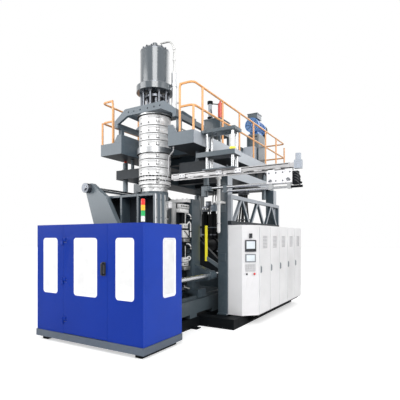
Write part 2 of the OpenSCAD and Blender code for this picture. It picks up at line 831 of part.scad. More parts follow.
module emergency_stop() {
  color([0.8, 0.08, 0.08]) on_slant(knob_u, knob_z, 0) rotate([90, 0, 0]) {
    translate([0, 0, seat]) cylinder(d = knob_stem_d, h = 16);
    translate([0, 0, 15.5]) cylinder(d = 44, h = 12);
    translate([0, 0, 27.5]) cylinder(d1 = 44, d2 = 34, h = 6);
  }
}

module selector_switch() {
  color([0.12, 0.12, 0.13]) on_slant(-knob_u, knob_z, 0) rotate([90, 0, 0]) {
    translate([0, 0, seat]) cylinder(d = knob_stem_d, h = 10);
    translate([0, 0, 9.5]) cylinder(d = 34, h = 8);
    translate([-5, -17, 9.5]) cube([10, 34, 20]);
  }
}

// Pipes, hydraulics and the light curtain

pipe_x = 1146;
pipe_y = 600;
pipe_d = 70;
pipe_z0 = 1897;
pipe_clip_z = 2480;

module air_pipe() {
  color(bright) {
    rod_z([pipe_x, pipe_y, pipe_z0], pipe_d, frame_z - 100 - pipe_z0);
    rod_z([pipe_x, pipe_y, frame_z - 101], pipe_d + 40, 101 - seat);
    rod_z([pipe_x, pipe_y, pipe_z0 - 20], pipe_d - 20, 22);
  }
  color(steel_grey) {
    difference() {
      block([pipe_x - 55, pipe_y - 50, pipe_clip_z], [pipe_x + 55, column_front_y - seat, pipe_clip_z + 40]);
      rod_z([pipe_x, pipe_y, pipe_clip_z - 1], pipe_d + 2 * seat, 42);
    }
  }
}

tank_x = [-880, 300];
tank_y = [2420, 3500];
tank_z0 = 40;
tank_h = 700;
pump_x = 620;

// Oil tank with its lid, the pump motor on feet, and the pipe between them
module hydraulic_unit() {
  color(steel_dark) {
    block([tank_x[0], tank_y[0], tank_z0], [tank_x[1], tank_y[1], tank_z0 + tank_h]);
    block([tank_x[0] - 15, tank_y[0] - 15, tank_z0 + tank_h], [tank_x[1] + 15, tank_y[1] + 15, tank_z0 + tank_h + 12]);
    for (x = [tank_x[0] + 20, tank_x[1] - 100], y = [tank_y[0] + 20, tank_y[1] - 100]) {
      block([x, y, 0], [x + 80, y + 80, tank_z0 + 1]);
    }
    rod_z([tank_x[0] + 250, tank_y[0] + 250, tank_z0 + tank_h + 11], 160, 260);
    rod_z([tank_x[0] + 250, tank_y[0] + 250, tank_z0 + tank_h + 270], 190, 40);
  }
  color([0.2, 0.35, 0.6]) {
    block([pump_x - 170, tank_y[0] + 120, 0], [pump_x + 170, tank_y[0] + 900, 120]);
    rod_y([pump_x, tank_y[0] + 160, 320], 340, 520);
    rod_y([pump_x, tank_y[0] + 140, 320], 300, 21);
    block([pump_x - 120, tank_y[0] + 200, 119], [pump_x + 120, tank_y[0] + 640, 200]);
    block([pump_x - 100, tank_y[0] + 300, 480], [pump_x + 100, tank_y[0] + 480, 560]);
  }
  color(steel_grey) {
    rod_y([pump_x, tank_y[0] + 679, 320], 180, 200);
    block([pump_x - 70, tank_y[0] + 760, 119], [pump_x + 70, tank_y[0] + 840, 240]);
    rod_x([tank_x[1] - 1, tank_y[0] + 780, 320], 60, pump_x - tank_x[1] - 80);
    block([pump_x + 60, tank_y[0] + 770, 100], [pump_x + 120, tank_y[0] + 830, 330]);
    rod_x([pump_x + 119, tank_y[0] + 800, 150], 50, column_in - seat - pump_x - 119);
  }
}

blow_base_z = tray_t + seat;
blow_guide_z = 520;
pin_rest_top_z = drum_z - 100 - blow_stroke;

// Lift housing of the blow pin, standing on the tray under the mould
module blow_unit() {
  color(steel_grey) {
    block([-260, -200, blow_base_z], [260, 200, blow_base_z + 40]);
    difference() {
      block([-150, -120, blow_base_z + 39], [150, 120, blow_guide_z]);
      rod_z([0, 0, blow_base_z + 60], blow_pin_d + 2 * run_fit, blow_guide_z);
    }
    rod_z([-200, 0, blow_base_z + 39], 60, 380);
    rod_z([200, 0, blow_base_z + 39], 60, 380);
  }
}

module blow_pin() {
  color(bright) {
    rod_z([0, 0, blow_base_z + 61], blow_pin_d, pin_rest_top_z - 60 - blow_base_z - 61);
    rod_z([0, 0, pin_rest_top_z - 61], blow_pin_d - 14, 40);
    translate([0, 0, pin_rest_top_z - 22]) cylinder(d1 = blow_pin_d - 14, d2 = blow_pin_d - 30, h = 22);
  }
}

curtain_x = 655;
curtain_y = 900;
curtain_z0 = 1281;
curtain_z1 = 2042;
curtain_w = 44;

// Yellow light curtain bar, hung from two arms on the right front column
module light_curtain() {
  color([0.95, 0.85, 0.1]) {
    block([curtain_x, curtain_y, curtain_z0], [curtain_x + curtain_w, curtain_y + curtain_w, curtain_z1]);
  }
  color(steel_grey) {
    rod_x([curtain_x + curtain_w + seat, curtain_y + curtain_w / 2, curtain_z1 - 40], 18,
      column_in - curtain_x - curtain_w - 2 * seat);
    plate_xz(curtain_y, curtain_w, [[curtain_x + curtain_w + seat, curtain_z0 + 20],
      [curtain_x + curtain_w + seat, curtain_z0 + 100], [column_in - seat, curtain_z0 - 80],
      [column_in - seat, curtain_z0 - 180]]);
  }
}

// Platform

gusset_top_z = platform_z + 390;
wall_t = 30;
cross_count = 6;
platform_cross_ys = [for (i = [0 : cross_count - 1]) 420 + i * (platform_back_y - 420 - 160) / (cross_count - 1)];

// One side of the platform: box beam with a raised wall along its inner side
module platform_side() {
  difference() {
    block([beam_inner_x, platform_front_y, platform_z], [beam_outer_x, platform_back_y, platform_top_z]);
    for (y = guide_ys) {
      rod_z([guide_x, y, platform_z - 1], guide_post_d + 2 * run_fit, platform_beam_h + 2);
    }
  }
  plate_xz(platform_front_y, 30, [[beam_inner_x, platform_top_z + seat], [return_x - 50, platform_top_z + seat],
    [beam_inner_x + 110, gusset_top_z], [beam_inner_x, gusset_top_z]]);
  block([beam_inner_x, platform_front_y + 30 + seat, platform_top_z + seat],
    [beam_inner_x + wall_t, 700, gusset_top_z]);
}

module platform_frame() {
  color(steel_dark) {
    both_sides() platform_side();
    for (y = platform_cross_ys) {
      block([-beam_inner_x + seat, y, platform_z + 20], [beam_inner_x - seat, y + 160, platform_top_z - deck_t - seat]);
    }
  }
}

module platform_deck() {
  color([0.3, 0.33, 0.36]) {
    block([-beam_inner_x + seat, platform_cross_ys[0], platform_top_z - deck_t],
      [beam_inner_x - seat, platform_back_y, platform_top_z]);
  }
}

railing_x = beam_outer_x - 24;
railing_base_z = platform_top_z + seat;
railing_y0 = platform_front_y + 26;
railing_y1 = platform_back_y - 26;
return_x = 829;
rail_r = rail_tube_d / 2;
mid_rail_z = railing_base_z + mid_rail_h;
top_rail_z = railing_base_z + railing_h;
rail_post_ys = [for (i = [0 : 5]) railing_y0 + 327 + i * post_pitch];

// A post on a foot plate, in two lengths between the tubes
module rail_post(x, y) {
  rod_z([x, y, railing_base_z], rail_tube_d, mid_rail_h - rail_r - seat);
  rod_z([x, y, mid_rail_z + rail_r + seat], rail_tube_d, top_rail_z - mid_rail_z - rail_tube_d - 2 * seat);
  block([x - 45, y - 26, railing_base_z], [x + rail_r, y + 26, railing_base_z + 8]);
}

module railing() {
  color(railing_orange) {
    both_sides() {
      for (y = concat([railing_y0], rail_post_ys, [railing_y1])) rail_post(railing_x, y);
      rail_post(return_x, railing_y0);
      for (z = [mid_rail_z, top_rail_z]) {
        rod_y([railing_x, railing_y0 - rail_r, z], rail_tube_d, railing_y1 - railing_y0 + 2 * rail_r);
        rod_x([return_x - rail_r, railing_y0, z], rail_tube_d, railing_x - return_x - seat);
      }
    }
    for (z = [mid_rail_z, top_rail_z]) {
      rod_x([-railing_x + rail_r + seat, railing_y1, z], rail_tube_d, 2 * (railing_x - rail_r - seat));
    }
    for (x = [-railing_x / 3, railing_x / 3]) rail_post(x, railing_y1);
  }
}

module jack_rods() {
  color(bright) both_sides() for (y = guide_ys) {
    rod_z([jack_x, y, jack_z0 + 25], jack_rod_d, platform_z - seat - jack_z0 - 25);
  }
}

// Die head

mandrel_rod_d = 60;
yoke_low_z = yoke_top_z - 142;
cyl_flange_z = yoke_top_z + tie_rod_l;
top_cyl_top_z = cyl_flange_z + top_cyl_h;
cyl_bore_l = 0.46 * top_cyl_h;
yoke_foot_z = platform_top_z + 300;

module head_body() {
  color([0.7, 0.71, 0.72]) {
    difference() {
      rod_z([0, 0, head_bottom_z], head_d, 3448 - head_bottom_z);
      rod_z([0, 0, head_bottom_z - 1], mandrel_rod_d + 2 * run_fit, 251 + mandrel_stroke);
    }
    rod_z([0, 0, 3447], mid_flange_d, 108);
    rod_z([0, 0, 3554], head_d, head_top_z - 3554);
    for (a = [0 : 15 : 345]) {
      rotate([0, 0, a]) rod_z([mid_flange_d / 2 - 22, 0, 3554], 24, 16);
    }
    rod_z([0, 0, head_top_z - 1], 700, yoke_low_z - seat - head_top_z + 1);
  }
}

band_edges = [2828, 2908, 2914, 2990, 2997, 3160, 3167, 3323, 3330, 3446, 3556, 3689, 3696, 3825, 3832, 3980, 3987, 4190];

// Stainless heater covers in a row, each with a clasp box on its right front
module heater_bands() {
  color([0.85, 0.86, 0.87]) for (i = [0 : 2 : len(band_edges) - 2]) {
    z0 = band_edges[i];
    z1 = band_edges[i + 1];
    difference() {
      rod_z([0, 0, z0], band_d, z1 - z0);
      rod_z([0, 0, z0 - 1], head_d + 2 * seat, z1 - z0 + 2);
      rod_y([0, 0, screw_z], melt_pipe_d + 20, band_d);
    }
    rotate([0, 0, -42]) block([band_d / 2 - 4, -32, z0 + 20], [band_d / 2 + 14, 32, z1 - 20]);
  }
}

yoke_y = 300;
yoke_t = 60;
yoke_foot_x = 740;
yoke_flat_x = 480;
yoke_profile = [[-yoke_flat_x, yoke_top_z], [yoke_flat_x, yoke_top_z], [yoke_foot_x + 20, yoke_foot_z + 135],
  [yoke_foot_x + 20, yoke_foot_z], [yoke_foot_x - 60, yoke_foot_z], [yoke_foot_x - 60, yoke_foot_z + 70], [yoke_flat_x - 60, yoke_low_z],
  [-yoke_flat_x + 60, yoke_low_z], [-yoke_foot_x + 60, yoke_foot_z + 70], [-yoke_foot_x + 60, yoke_foot_z],
  [-yoke_foot_x - 20, yoke_foot_z], [-yoke_foot_x - 20, yoke_foot_z + 135]];

// Bridge that holds the head: two cross plates with haunches, a bored top plate and side beams on legs
module head_yoke() {
  color(steel_dark) {
    difference() {
      union() {
        plate_xz(-yoke_y - yoke_t, yoke_t, yoke_profile);
        plate_xz(yoke_y, yoke_t, yoke_profile);
        block([-yoke_flat_x + 10, -yoke_y + seat, yoke_low_z], [yoke_flat_x - 10, yoke_y - seat, yoke_top_z - 20]);
      }
      both_sides() for (y = [-yoke_y - yoke_t - 1, yoke_y - 1]) {
        block([yoke_flat_x - 60, y, 4000], [yoke_flat_x - 60 + seat, y + yoke_t + 2, yoke_top_z + 1]);
      }
      rod_z([0, 0, yoke_top_z - 200], 120, 300);
      for (a = [0 : 90 : 270]) rotate([0, 0, a + 45]) rod_z([150, 0, yoke_top_z - 200], 60, 300);
      for (x = [-390, -250, -90, 90, 250, 390]) rod_y([x, -yoke_y - yoke_t - 1, yoke_top_z - 75], 30, 40);
    }
    both_sides() {
      block([yoke_foot_x - 60, -yoke_y + seat, yoke_foot_z], [yoke_foot_x + 20, yoke_y - seat, yoke_foot_z + 100]);
      block([yoke_foot_x - 60, yoke_y + yoke_t + seat, yoke_foot_z], [yoke_foot_x + 20, 760, yoke_foot_z + 100]);
      for (y = [-240, 680]) {
        block([yoke_foot_x - 60, y, platform_top_z + seat], [yoke_foot_x + 20, y + 80, yoke_foot_z - seat]);
        block([yoke_foot_x - 90, y - 30, platform_top_z + seat], [yoke_foot_x + 50, y + 110, platform_top_z + 20]);
      }
    }
  }
}

module head_tie_rods() {
  color(bright) for (a = [0 : 36 : 324]) {
    rotate([0, 0, a]) {
      rod_z([tie_rod_pcd / 2, 0, yoke_top_z - 20 + seat], tie_rod_d, cyl_flange_z - yoke_top_z + 20 - 2 * seat);
      translate([tie_rod_pcd / 2, 0, yoke_top_z - 20 + seat]) cylinder(d = tie_rod_d + 30, h = 40, $fn = 6);
      translate([tie_rod_pcd / 2, 0, cyl_flange_z - 40 - seat]) cylinder(d = tie_rod_d + 30, h = 40, $fn = 6);
    }
  }
}

ram_rod_d = 110;
ram_plate_t = 50;
ram_plate_d = 420;
ram_plate_z = cyl_flange_z - 60 - ram_plate_t;

valve_x = 430;
valve_y = 60;

module top_cylinder() {
  color(steel_dark) difference() {
    union() {
      rod_z([0, 0, cyl_flange_z], cyl_flange_d, cyl_flange_t);
      rod_z([0, 0, cyl_flange_z + cyl_flange_t - 1], top_cyl_d, top_cyl_top_z - cyl_flange_z - cyl_flange_t - 39);
      translate([0, 0, top_cyl_top_z - 41]) cylinder(d1 = top_cyl_d, d2 = top_cyl_d - 60, h = 41);
      rod_z([0, 0, top_cyl_top_z - 1], 160, 90);
      rod_z([0, 0, top_cyl_top_z + 88], 100, 70);
      rod_z([130, 0, top_cyl_top_z - 1], 60, 80);
      for (a = [0 : 30 : 330]) {
        rotate([0, 0, a + 15]) rod_z([cyl_flange_d / 2 - 36, 0, cyl_flange_z + cyl_flange_t - 1], 34, 31);
      }
      rod_z([valve_x, valve_y, yoke_top_z - 20 + seat], 104, 700);
      rod_z([valve_x, valve_y, yoke_top_z - 20 + seat], 70, 60);
      rod_z([valve_x, valve_y, yoke_top_z + 400], 124, 60);
      block([valve_x - 110, valve_y - 25, cyl_flange_z + 30], [valve_x, valve_y + 25, cyl_flange_z + 90]);
    }
    rod_z([0, 0, cyl_flange_z - 1], ram_rod_d + 2 * run_fit, cyl_bore_l);
  }
}

// Ram rod, crosshead plate and the push rods that go down into the head
module accumulator_ram() {
  color(bright) {
    rod_z([0, 0, ram_plate_z + ram_plate_t - 1], ram_rod_d, cyl_bore_l - 40);
    rod_z([0, 0, ram_plate_z], ram_plate_d, ram_plate_t);
    for (a = [0 : 90 : 270]) rotate([0, 0, a + 45]) {
      rod_z([150, 0, yoke_top_z - 10], 50, ram_plate_z - yoke_top_z + 11);
    }
  }
}

die_land = 20;

module die_neck() {
  color([0.88, 0.88, 0.88]) difference() {
    union() {
      rod_z([0, 0, head_bottom_z - neck_h], neck_d, neck_h - seat);
      rod_z([0, 0, head_bottom_z - 44], neck_d + 60, 44 - seat);
    }
    rod_z([0, 0, head_bottom_z - neck_h - 1], mandrel_d + 2 * die_land, neck_h - 20);
    rod_z([0, 0, head_bottom_z - 30], mandrel_rod_d + 2 * run_fit, 31);
    for (a = [0 : 30 : 330]) rotate([0, 0, a]) {
      translate([neck_d / 2 + 1, 0, head_bottom_z - 90]) rotate([0, -90, 0]) cylinder(d = 26, h = 20);
    }
  }
}

sleeve_wall = 12;

module die_sleeve() {
  color(steel_dark) difference() {
    rod_z([0, 0, sleeve_bottom_z], sleeve_d, head_bottom_z - neck_h - seat - sleeve_bottom_z);
    rod_z([0, 0, sleeve_bottom_z - 1], sleeve_d - 2 * sleeve_wall, head_bottom_z - neck_h - sleeve_bottom_z - 20);
    rod_z([0, 0, sleeve_bottom_z], mandrel_d + 2 * die_land, head_bottom_z - sleeve_bottom_z);
  }
}

module die_mandrel() {
  color(bright) {
    rod_z([0, 0, head_bottom_z - neck_h - 60], mandrel_d, neck_h + 60 - 22);
    rod_z([0, 0, head_bottom_z - 23], mandrel_rod_d, 270 + mandrel_stroke);
    translate([0, 0, head_bottom_z - neck_h - 100]) cylinder(d1 = mandrel_d - 60, d2 = mandrel_d, h = 40.5);
  }
}

// Extruder

barrel_front_y = mid_flange_d / 2 + 60;
melt_pipe_d = 170;
melt_bore_d = 60;
zone_count = 7;
zone_gap = 44;
feed_half = 150;
feed_block_h = 170;
zone_y0 = barrel_front_y + 60 + zone_gap;
zone_pitch = (feed_y - feed_half - zone_y0) / zone_count;
chute_d = 150;
chute_top_z = 4850;
flight_pitch = 120;
flight_t = 14;
shank_l = 280;
gear_y0 = barrel_back_y + seat;

module extruder_barrel() {
  color([0.78, 0.79, 0.8]) difference() {
    union() {
      rod_y([0, barrel_front_y, screw_z], barrel_d, barrel_back_y - barrel_front_y);
      rod_y([0, barrel_front_y, screw_z], barrel_heater_d, 60);
      rod_y([0, barrel_back_y - 50, screw_z], barrel_heater_d + 40, 50);
      rod_y([0, head_d / 2 - 40, screw_z], melt_pipe_d, barrel_front_y - head_d / 2 + 41);
      for (i = [0 : zone_count - 1]) {
        rod_y([0, zone_y0 + i * zone_pitch, screw_z], barrel_heater_d, zone_pitch - zone_gap);
      }
      for (i = [2, 5]) {
        y = zone_y0 + i * zone_pitch - zone_gap + 4;
        block([-150, y, platform_top_z + seat], [150, y + zone_gap - 8, screw_z]);
      }
      block([-feed_half, feed_y - feed_half + 4, screw_z - feed_block_h],
        [feed_half, feed_y + feed_half - 10, screw_z + feed_block_h]);
    }
    rod_z([0, 0, screw_z - melt_pipe_d], head_d + 2 * seat, 2 * melt_pipe_d);
    rod_y([0, barrel_front_y + 40, screw_z], screw_d + 2 * run_fit, barrel_back_y);
    rod_y([0, 0, screw_z], melt_bore_d, barrel_front_y + 50);
    rod_z([0, feed_y, screw_z], chute_d - 20, feed_block_h + 1);
  }
}

// Core with its flights, a pointed tip and a shank that runs into the gearbox
module extruder_screw() {
  y0 = barrel_front_y + 90;
  color(bright) {
    rod_y([0, y0, screw_z], screw_core_d, gear_y0 + shank_l - y0);
    translate([0, y0 - 40, screw_z]) rotate([-90, 0, 0]) cylinder(d1 = 20, d2 = screw_core_d, h = 41);
    for (y = [y0 + 10 : flight_pitch : barrel_back_y - 60]) {
      rod_y([0, y, screw_z], screw_d, flight_t);
    }
  }
}

// Round feed chute with flanges and a shipping cap
module feed_chute() {
  z0 = screw_z + feed_block_h + seat;
  color([0.6, 0.62, 0.64]) difference() {
    union() {
      rod_z([0, feed_y, z0], chute_d + 70, 24);
      rod_z([0, feed_y, z0], chute_d, chute_top_z - z0);
      rod_z([0, feed_y, chute_top_z - 24], chute_d + 50, 24);
    }
    rod_z([0, feed_y, z0 - 1], chute_d - 20, chute_top_z - z0 + 2);
  }
  color([0.95, 0.85, 0.15]) {
    rod_z([0, feed_y, chute_top_z + seat], chute_d + 56, 60);
    rod_z([0, feed_y, chute_top_z + 60], 60, 24);
  }
}

motor_x = 420;
gear_half = 215;
gear_y1 = 4560;
gear_top_z = 4400;
guard_y0 = motor_front_y + motor_l + 20;
guard_t = 150;
belt_guard_r = 190;
pedestal_x0 = gear_half + 20;
pedestal_x1 = 605;
pedestal_top_z = motor_z - motor_d / 2 - 46;
box_w = 300;
box_h = 130;

// Belt guard outline: two round ends joined by a slanted band
module belt_outline() {
  dz = motor_z - screw_z;
  circle(r = belt_guard_r);
  translate([motor_x, dz]) circle(r = belt_guard_r);
  rotate(atan2(dz, motor_x)) translate([0, -belt_guard_r]) square([norm([motor_x, dz]), 2 * belt_guard_r]);
}

module gearbox() {
  color(steel_dark) {
    difference() {
      union() {
        block([-gear_half, gear_y0, platform_top_z + seat], [gear_half, gear_y1, gear_top_z]);
        block([-gear_half - 16, gear_y0, screw_z - 20], [gear_half + 16, gear_y1, screw_z + 20]);
      }
      rod_y([0, gear_y0 - 1, screw_z], screw_core_d + 2 * run_fit, shank_l + 11);
    }
    for (x = [-150, 0, 150]) {
      block([x - 12, gear_y0, gear_top_z - 1], [x + 12, gear_y1, gear_top_z + 30]);
    }
    rod_y([0, gear_y1 - 1, screw_z], 200, guard_y0 - gear_y1 + 1);
    difference() {
      block([pedestal_x0, motor_front_y + 80, platform_top_z + seat],
        [pedestal_x1, guard_y0 - 80, pedestal_top_z]);
      block([pedestal_x0 + 40, motor_front_y + 79, platform_top_z + 80],
        [pedestal_x1 - 40, motor_front_y + 120, pedestal_top_z - 60]);
    }
    translate([0, guard_y0 + guard_t, screw_z]) rotate([90, 0, 0]) linear_extrude(guard_t) belt_outline();
  }
  color([0.72, 0.74, 0.76]) translate([pedestal_x0, 0, 0]) rotate([90, 0, 90]) linear_extrude(320)
    polygon([[3400, platform_top_z + seat], [motor_front_y + 70, platform_top_z + seat],
      [motor_front_y + 70, 4420], [3930, 4420]]);
}

fin_count = 24;

// Foot-mounted motor: finned body, end cowl, shaft end and terminal box
module drive_motor() {
  body_d = motor_d - 60;
  color([0.3, 0.45, 0.75]) {
    rod_y([motor_x, motor_front_y, motor_z], motor_d, 110);
    rod_y([motor_x, motor_front_y + 109, motor_z], body_d, motor_l - 110);
    rod_y([motor_x, motor_front_y + motor_l - 50, motor_z], motor_d - 20, 50);
    rod_y([motor_x, motor_front_y + motor_l - 1, motor_z], 70, 21 - seat);
    for (i = [0 : fin_count - 1]) {
      translate([motor_x, motor_front_y + 109, motor_z]) rotate([0, (i + 0.5) * 360 / fin_count, 0])
        translate([body_d / 2 - 4, 0, -4]) cube([26, motor_l - 150, 8]);
    }
    block([motor_x - 150, motor_front_y + 140, pedestal_top_z + seat],
      [motor_x + 150, motor_front_y + motor_l - 90, pedestal_top_z + 40]);
    block([motor_x - 120, motor_front_y + 160, pedestal_top_z + 39],
      [motor_x + 120, motor_front_y + motor_l - 110, motor_z - body_d / 2 + 30]);
  }
  color([0.25, 0.27, 0.3]) {
    block([motor_x - box_w / 2, motor_front_y + 60, motor_z + motor_d / 2 - 10],
      [motor_x + box_w / 2, motor_front_y + 400, motor_z + motor_d / 2 + box_h]);
    block([motor_x - box_w / 2 - 12, motor_front_y + 48, motor_z + motor_d / 2 + box_h - 1],
      [motor_x + box_w / 2 + 12, motor_front_y + 412, motor_z + motor_d / 2 + box_h + 14]);
  }
}

servo_x = [290, 710];
servo_y = [1500, 2000];
servo_z = [4175, 4541];
leg_w = 50;
filter_x = 370;
filter_y = 1650;

// Raised hydraulic box on four legs, with a filter and its gauge on the lid
module servo_unit() {
  color([0.25, 0.27, 0.3]) {
    block([servo_x[0], servo_y[0], servo_z[0]], [servo_x[1], servo_y[1], servo_z[1]]);
    block([servo_x[0] - 12, servo_y[0] - 12, servo_z[1] - 20], [servo_x[1] + 12, servo_y[1] + 12, servo_z[1]]);
    for (x = [servo_x[0], servo_x[1] - leg_w], y = [servo_y[0], servo_y[1] - leg_w]) {
      block([x, y, platform_top_z + seat], [x + leg_w, y + leg_w, servo_z[0] + 1]);
    }
  }
  color([0.5, 0.52, 0.54]) {
    rod_z([filter_x, filter_y, servo_z[1] - 1], 90, 400);
    rod_z([filter_x, filter_y, servo_z[1] + 60], 130, 30);
  }
  color([0.1, 0.1, 0.1]) rod_z([filter_x, filter_y, servo_z[1] + 398], 130, 65);
}

bottle_d = 110;
bottle_h = 400;
bottle_x = 560;
bottle_y = 1800;

module accumulator_bottle() {
  color([0.85, 0.25, 0.15]) {
    rod_z([bottle_x, bottle_y, servo_z[1] + 60], bottle_d, bottle_h - 40);
    translate([bottle_x, bottle_y, servo_z[1] + 19 + bottle_h]) cylinder(d1 = bottle_d, d2 = 50, h = 40);
    rod_z([bottle_x, bottle_y, servo_z[1] + 58 + bottle_h], 40, 30);
    rod_z([bottle_x, bottle_y, servo_z[1] + seat], 80, 61);
  }
}

// Clamp: platens, moulds, tie bars, end plates and cylinder

module tie_hub(high, y, l) {
  rod_y([high ? -tie_bar_x : tie_bar_x, y, high ? tie_high_z : tie_low_z], hub_d, l);
}

module tie_bores(y, l) {
  rod_y([-tie_bar_x, y, tie_high_z], tie_bar_d + 2 * run_fit, l);
  rod_y([tie_bar_x, y, tie_low_z], tie_bar_d + 2 * run_fit, l);
}

// Mould plate with a grid of ribs welded behind it, a foot beam and rail shoes; its face looks to -Y
module platen() {
  rib_y = platen_face_y + platen_plate_t + seat;
  rib_xs = [-platen_half_w, -200 - rib_t / 2, 200 - rib_t / 2, platen_half_w - rib_t];
  row_h = (platen_top_z - platen_z0 - rib_t - seat) / 3;
  block([-platen_half_w, platen_face_y, platen_z0 + seat], [platen_half_w, platen_face_y + platen_plate_t, platen_top_z]);
  for (x = rib_xs) block([x, rib_y, platen_z0 + seat], [x + rib_t, platen_back_y, platen_top_z]);
  for (c = [0 : 2], r = [0 : 3]) {
    block([rib_xs[c] + rib_t + seat, rib_y, platen_z0 + seat + r * row_h],
      [rib_xs[c + 1] - seat, platen_back_y, platen_z0 + seat + r * row_h + rib_t]);
  }
  block([-bed_x - shoe_w / 2, platen_face_y, platen_foot_z], [bed_x + shoe_w / 2, platen_back_y, platen_z0]);
  both_sides() for (y = [platen_face_y, platen_back_y - shoe_l]) {
    difference() {
      block([bed_x - shoe_w / 2, y, rail_top_z + 40 - shoe_h],
        [bed_x + shoe_w / 2, y + shoe_l, platen_foot_z - seat]);
      block([bed_x - rail_w / 2 - seat, y - 1, 0], [bed_x + rail_w / 2 + seat, y + shoe_l + 1, rail_top_z + seat]);
    }
  }
}

module rear_platen() {
  color(steel_dark) {
    platen();
    difference() {
      union() {
        plate_xz(platen_face_y + 100, 150, [[-platen_half_w + 1, 2560], [-platen_half_w + 1, 2200],
          [-tie_bar_x - 40, tie_high_z - 80], [-tie_bar_x + 20, tie_high_z + hub_d / 2]]);
        plate_xz(platen_face_y + 100, 150, [[platen_half_w - 1, 1230], [platen_half_w - 1, 860],
          [tie_bar_x - 20, tie_low_z - hub_d / 2], [tie_bar_x + 40, tie_low_z + 80]]);
        tie_hub(true, platen_face_y + 60, 240);
        tie_hub(false, platen_face_y + 60, 240);
      }
      tie_bores(platen_face_y, platen_depth);
    }
  }
  color(bright) {
    rod_y([0, platen_back_y - 1, clamp_z], clamp_rod_d, rear_plate_y + rod_in - platen_back_y + 1);
    rod_y([0, platen_face_y + platen_plate_t + seat, clamp_z], clamp_rod_d + 120,
      platen_depth - platen_plate_t - seat);
  }
}

module front_platen() {
  color(steel_dark) mirror([0, 1, 0]) platen();
}

end_profile = [[-1010, 2700], [-1000, 2640], [-804, 2068], [-620, 1500], [-240, 900], [850, 890], [930, 915],
  [1020, 980], [1020, 1060], [930, 1110], [600, 1320], [180, 1700], [-200, 2068], [-480, 2560], [-860, 2840],
  [-960, 2835], [-1010, 2790]];

module end_plates() {
  color(steel_grey) difference() {
    union() {
      plate_xz(-platen_back_y - end_plate_t - seat, end_plate_t, end_profile);
      plate_xz(rear_plate_y, end_plate_t, end_profile);
    }
    tie_bores(-platen_back_y - end_plate_t - 1, 3000);
    rod_y([0, rear_plate_y - 1, clamp_z], clamp_bore_d + 80 + 2 * seat, end_plate_t + 2);
  }
}

module tie_bars() {
  color(bright) for (p = [[-tie_bar_x, tie_high_z], [tie_bar_x, tie_low_z]]) {
    rod_y([p[0], tie_front_y, p[1]], tie_bar_d, tie_back_y - tie_front_y);
    rod_y([p[0], -platen_back_y - end_plate_t - 2 * seat - nut_l, p[1]], nut_d, nut_l);
    rod_y([p[0], rear_plate_y + end_plate_t + seat, p[1]], nut_d, nut_l);
  }
}

rod_in = 180;
clamp_bore_l = rod_in + 2 * open_stroke + 20;

module clamp_cylinder() {
  color(steel_dark) difference() {
    union() {
      rod_y([0, rear_plate_y, clamp_z], clamp_bore_d + 80, clamp_bore_l + 60);
      rod_y([0, rear_plate_y + end_plate_t + seat, clamp_z], clamp_bore_d + 220, 60);
      rod_y([0, rear_plate_y + clamp_bore_l, clamp_z], clamp_bore_d + 130, 60);
    }
    rod_y([0, rear_plate_y - 1, clamp_z], clamp_rod_d + 2 * run_fit, clamp_bore_l + 1);
  }
}

mould_half_w = 480;
mould_back_t = 50;

// One mould half in front of a platen at +Y, parting face at Y = 0
module mould_half() {
  difference() {
    union() {
      intersection() {
        rod_z([0, 0, mould_bottom_z], 2 * mould_r, mould_top_z - mould_bottom_z);
        block([-mould_r, seat / 2, 0], [mould_r, mould_r, mould_top_z]);
      }
      block([-mould_half_w, platen_face_y - seat - mould_back_t, mould_bottom_z - 20],
        [mould_half_w, platen_face_y - seat, mould_top_z + 20]);
      for (z = [mould_bottom_z, mould_bottom_z + 430, mould_bottom_z + 860, mould_top_z - 60]) {
        block([-mould_r - 30, seat / 2, z], [mould_r + 30, platen_face_y - 20, z + 60]);
      }
      for (x = [-mould_r - 30, mould_r - 30]) {
        block([x, seat / 2, mould_bottom_z], [x + 60, 70, mould_top_z]);
      }
    }
    rod_z([0, 0, drum_z], drum_d, drum_h);
    rod_z([0, 0, mould_bottom_z - 50], blow_pin_d + 40, drum_z - mould_bottom_z + 60);
  }
}

module front_mould() {
  color(bright) mirror([0, 1, 0]) mould_half();
}

module rear_mould() {
  color(bright) mould_half();
}

mould_cyl_x = 270;
mould_cyl_y = 325;
mould_cyl_z = 2500;

// Hydraulic cylinder and valve box that stand on the rear mould half
module mould_cylinder() {
  color(bright) {
    rod_z([mould_cyl_x, mould_cyl_y, mould_top_z + seat], mould_cyl_d, mould_cyl_z - mould_top_z);
    rod_z([mould_cyl_x, mould_cyl_y, mould_top_z + seat], mould_cyl_d + 16, 40);
    block([mould_cyl_x - 80, mould_cyl_y - 80, mould_cyl_z - 1], [mould_cyl_x + 330, mould_cyl_y + 80, mould_cyl_z + 60]);
    for (x = [-50, 50, 190, 290]) {
      rod_z([mould_cyl_x + x, mould_cyl_y, mould_cyl_z + 59], 36, 26);
    }
  }
  color([0.12, 0.13, 0.14]) {
    block([mould_cyl_x + 120, mould_cyl_y - 70, mould_top_z + 120],
      [mould_cyl_x + 240, mould_cyl_y + 70, mould_cyl_z - 40]);
    rod_z([mould_cyl_x + 145, mould_cyl_y, mould_cyl_z - 41], 40, 40);
    rod_z([mould_cyl_x + 130, mould_cyl_y, mould_top_z + seat], 50, 121);
  }
}

// Take-out robot

robot_top_z = bracket_z + bracket_t + 166 + robot_lift;
robot_beam_y = -20;
robot_beam_t = 70;
foot_plate_t = 20;
robot_plate_z = robot_beam_z + robot_beam_h;
slot_n = 12;
beam_rail_h = 22;
beam_rail_w = 30;
carriage_z0 = 2692;
carriage_z1 = 2912 - 10;
arm_y = robot_beam_y + robot_beam_t / 2;
arm_top_z = 2700;
arm_low_z = 2625;
arm_x0 = carriage_travel + 451;
arm_low_x0 = 1535;
arm_x1 = 2990;
arm_d = 50;
arm_low_d = 40;

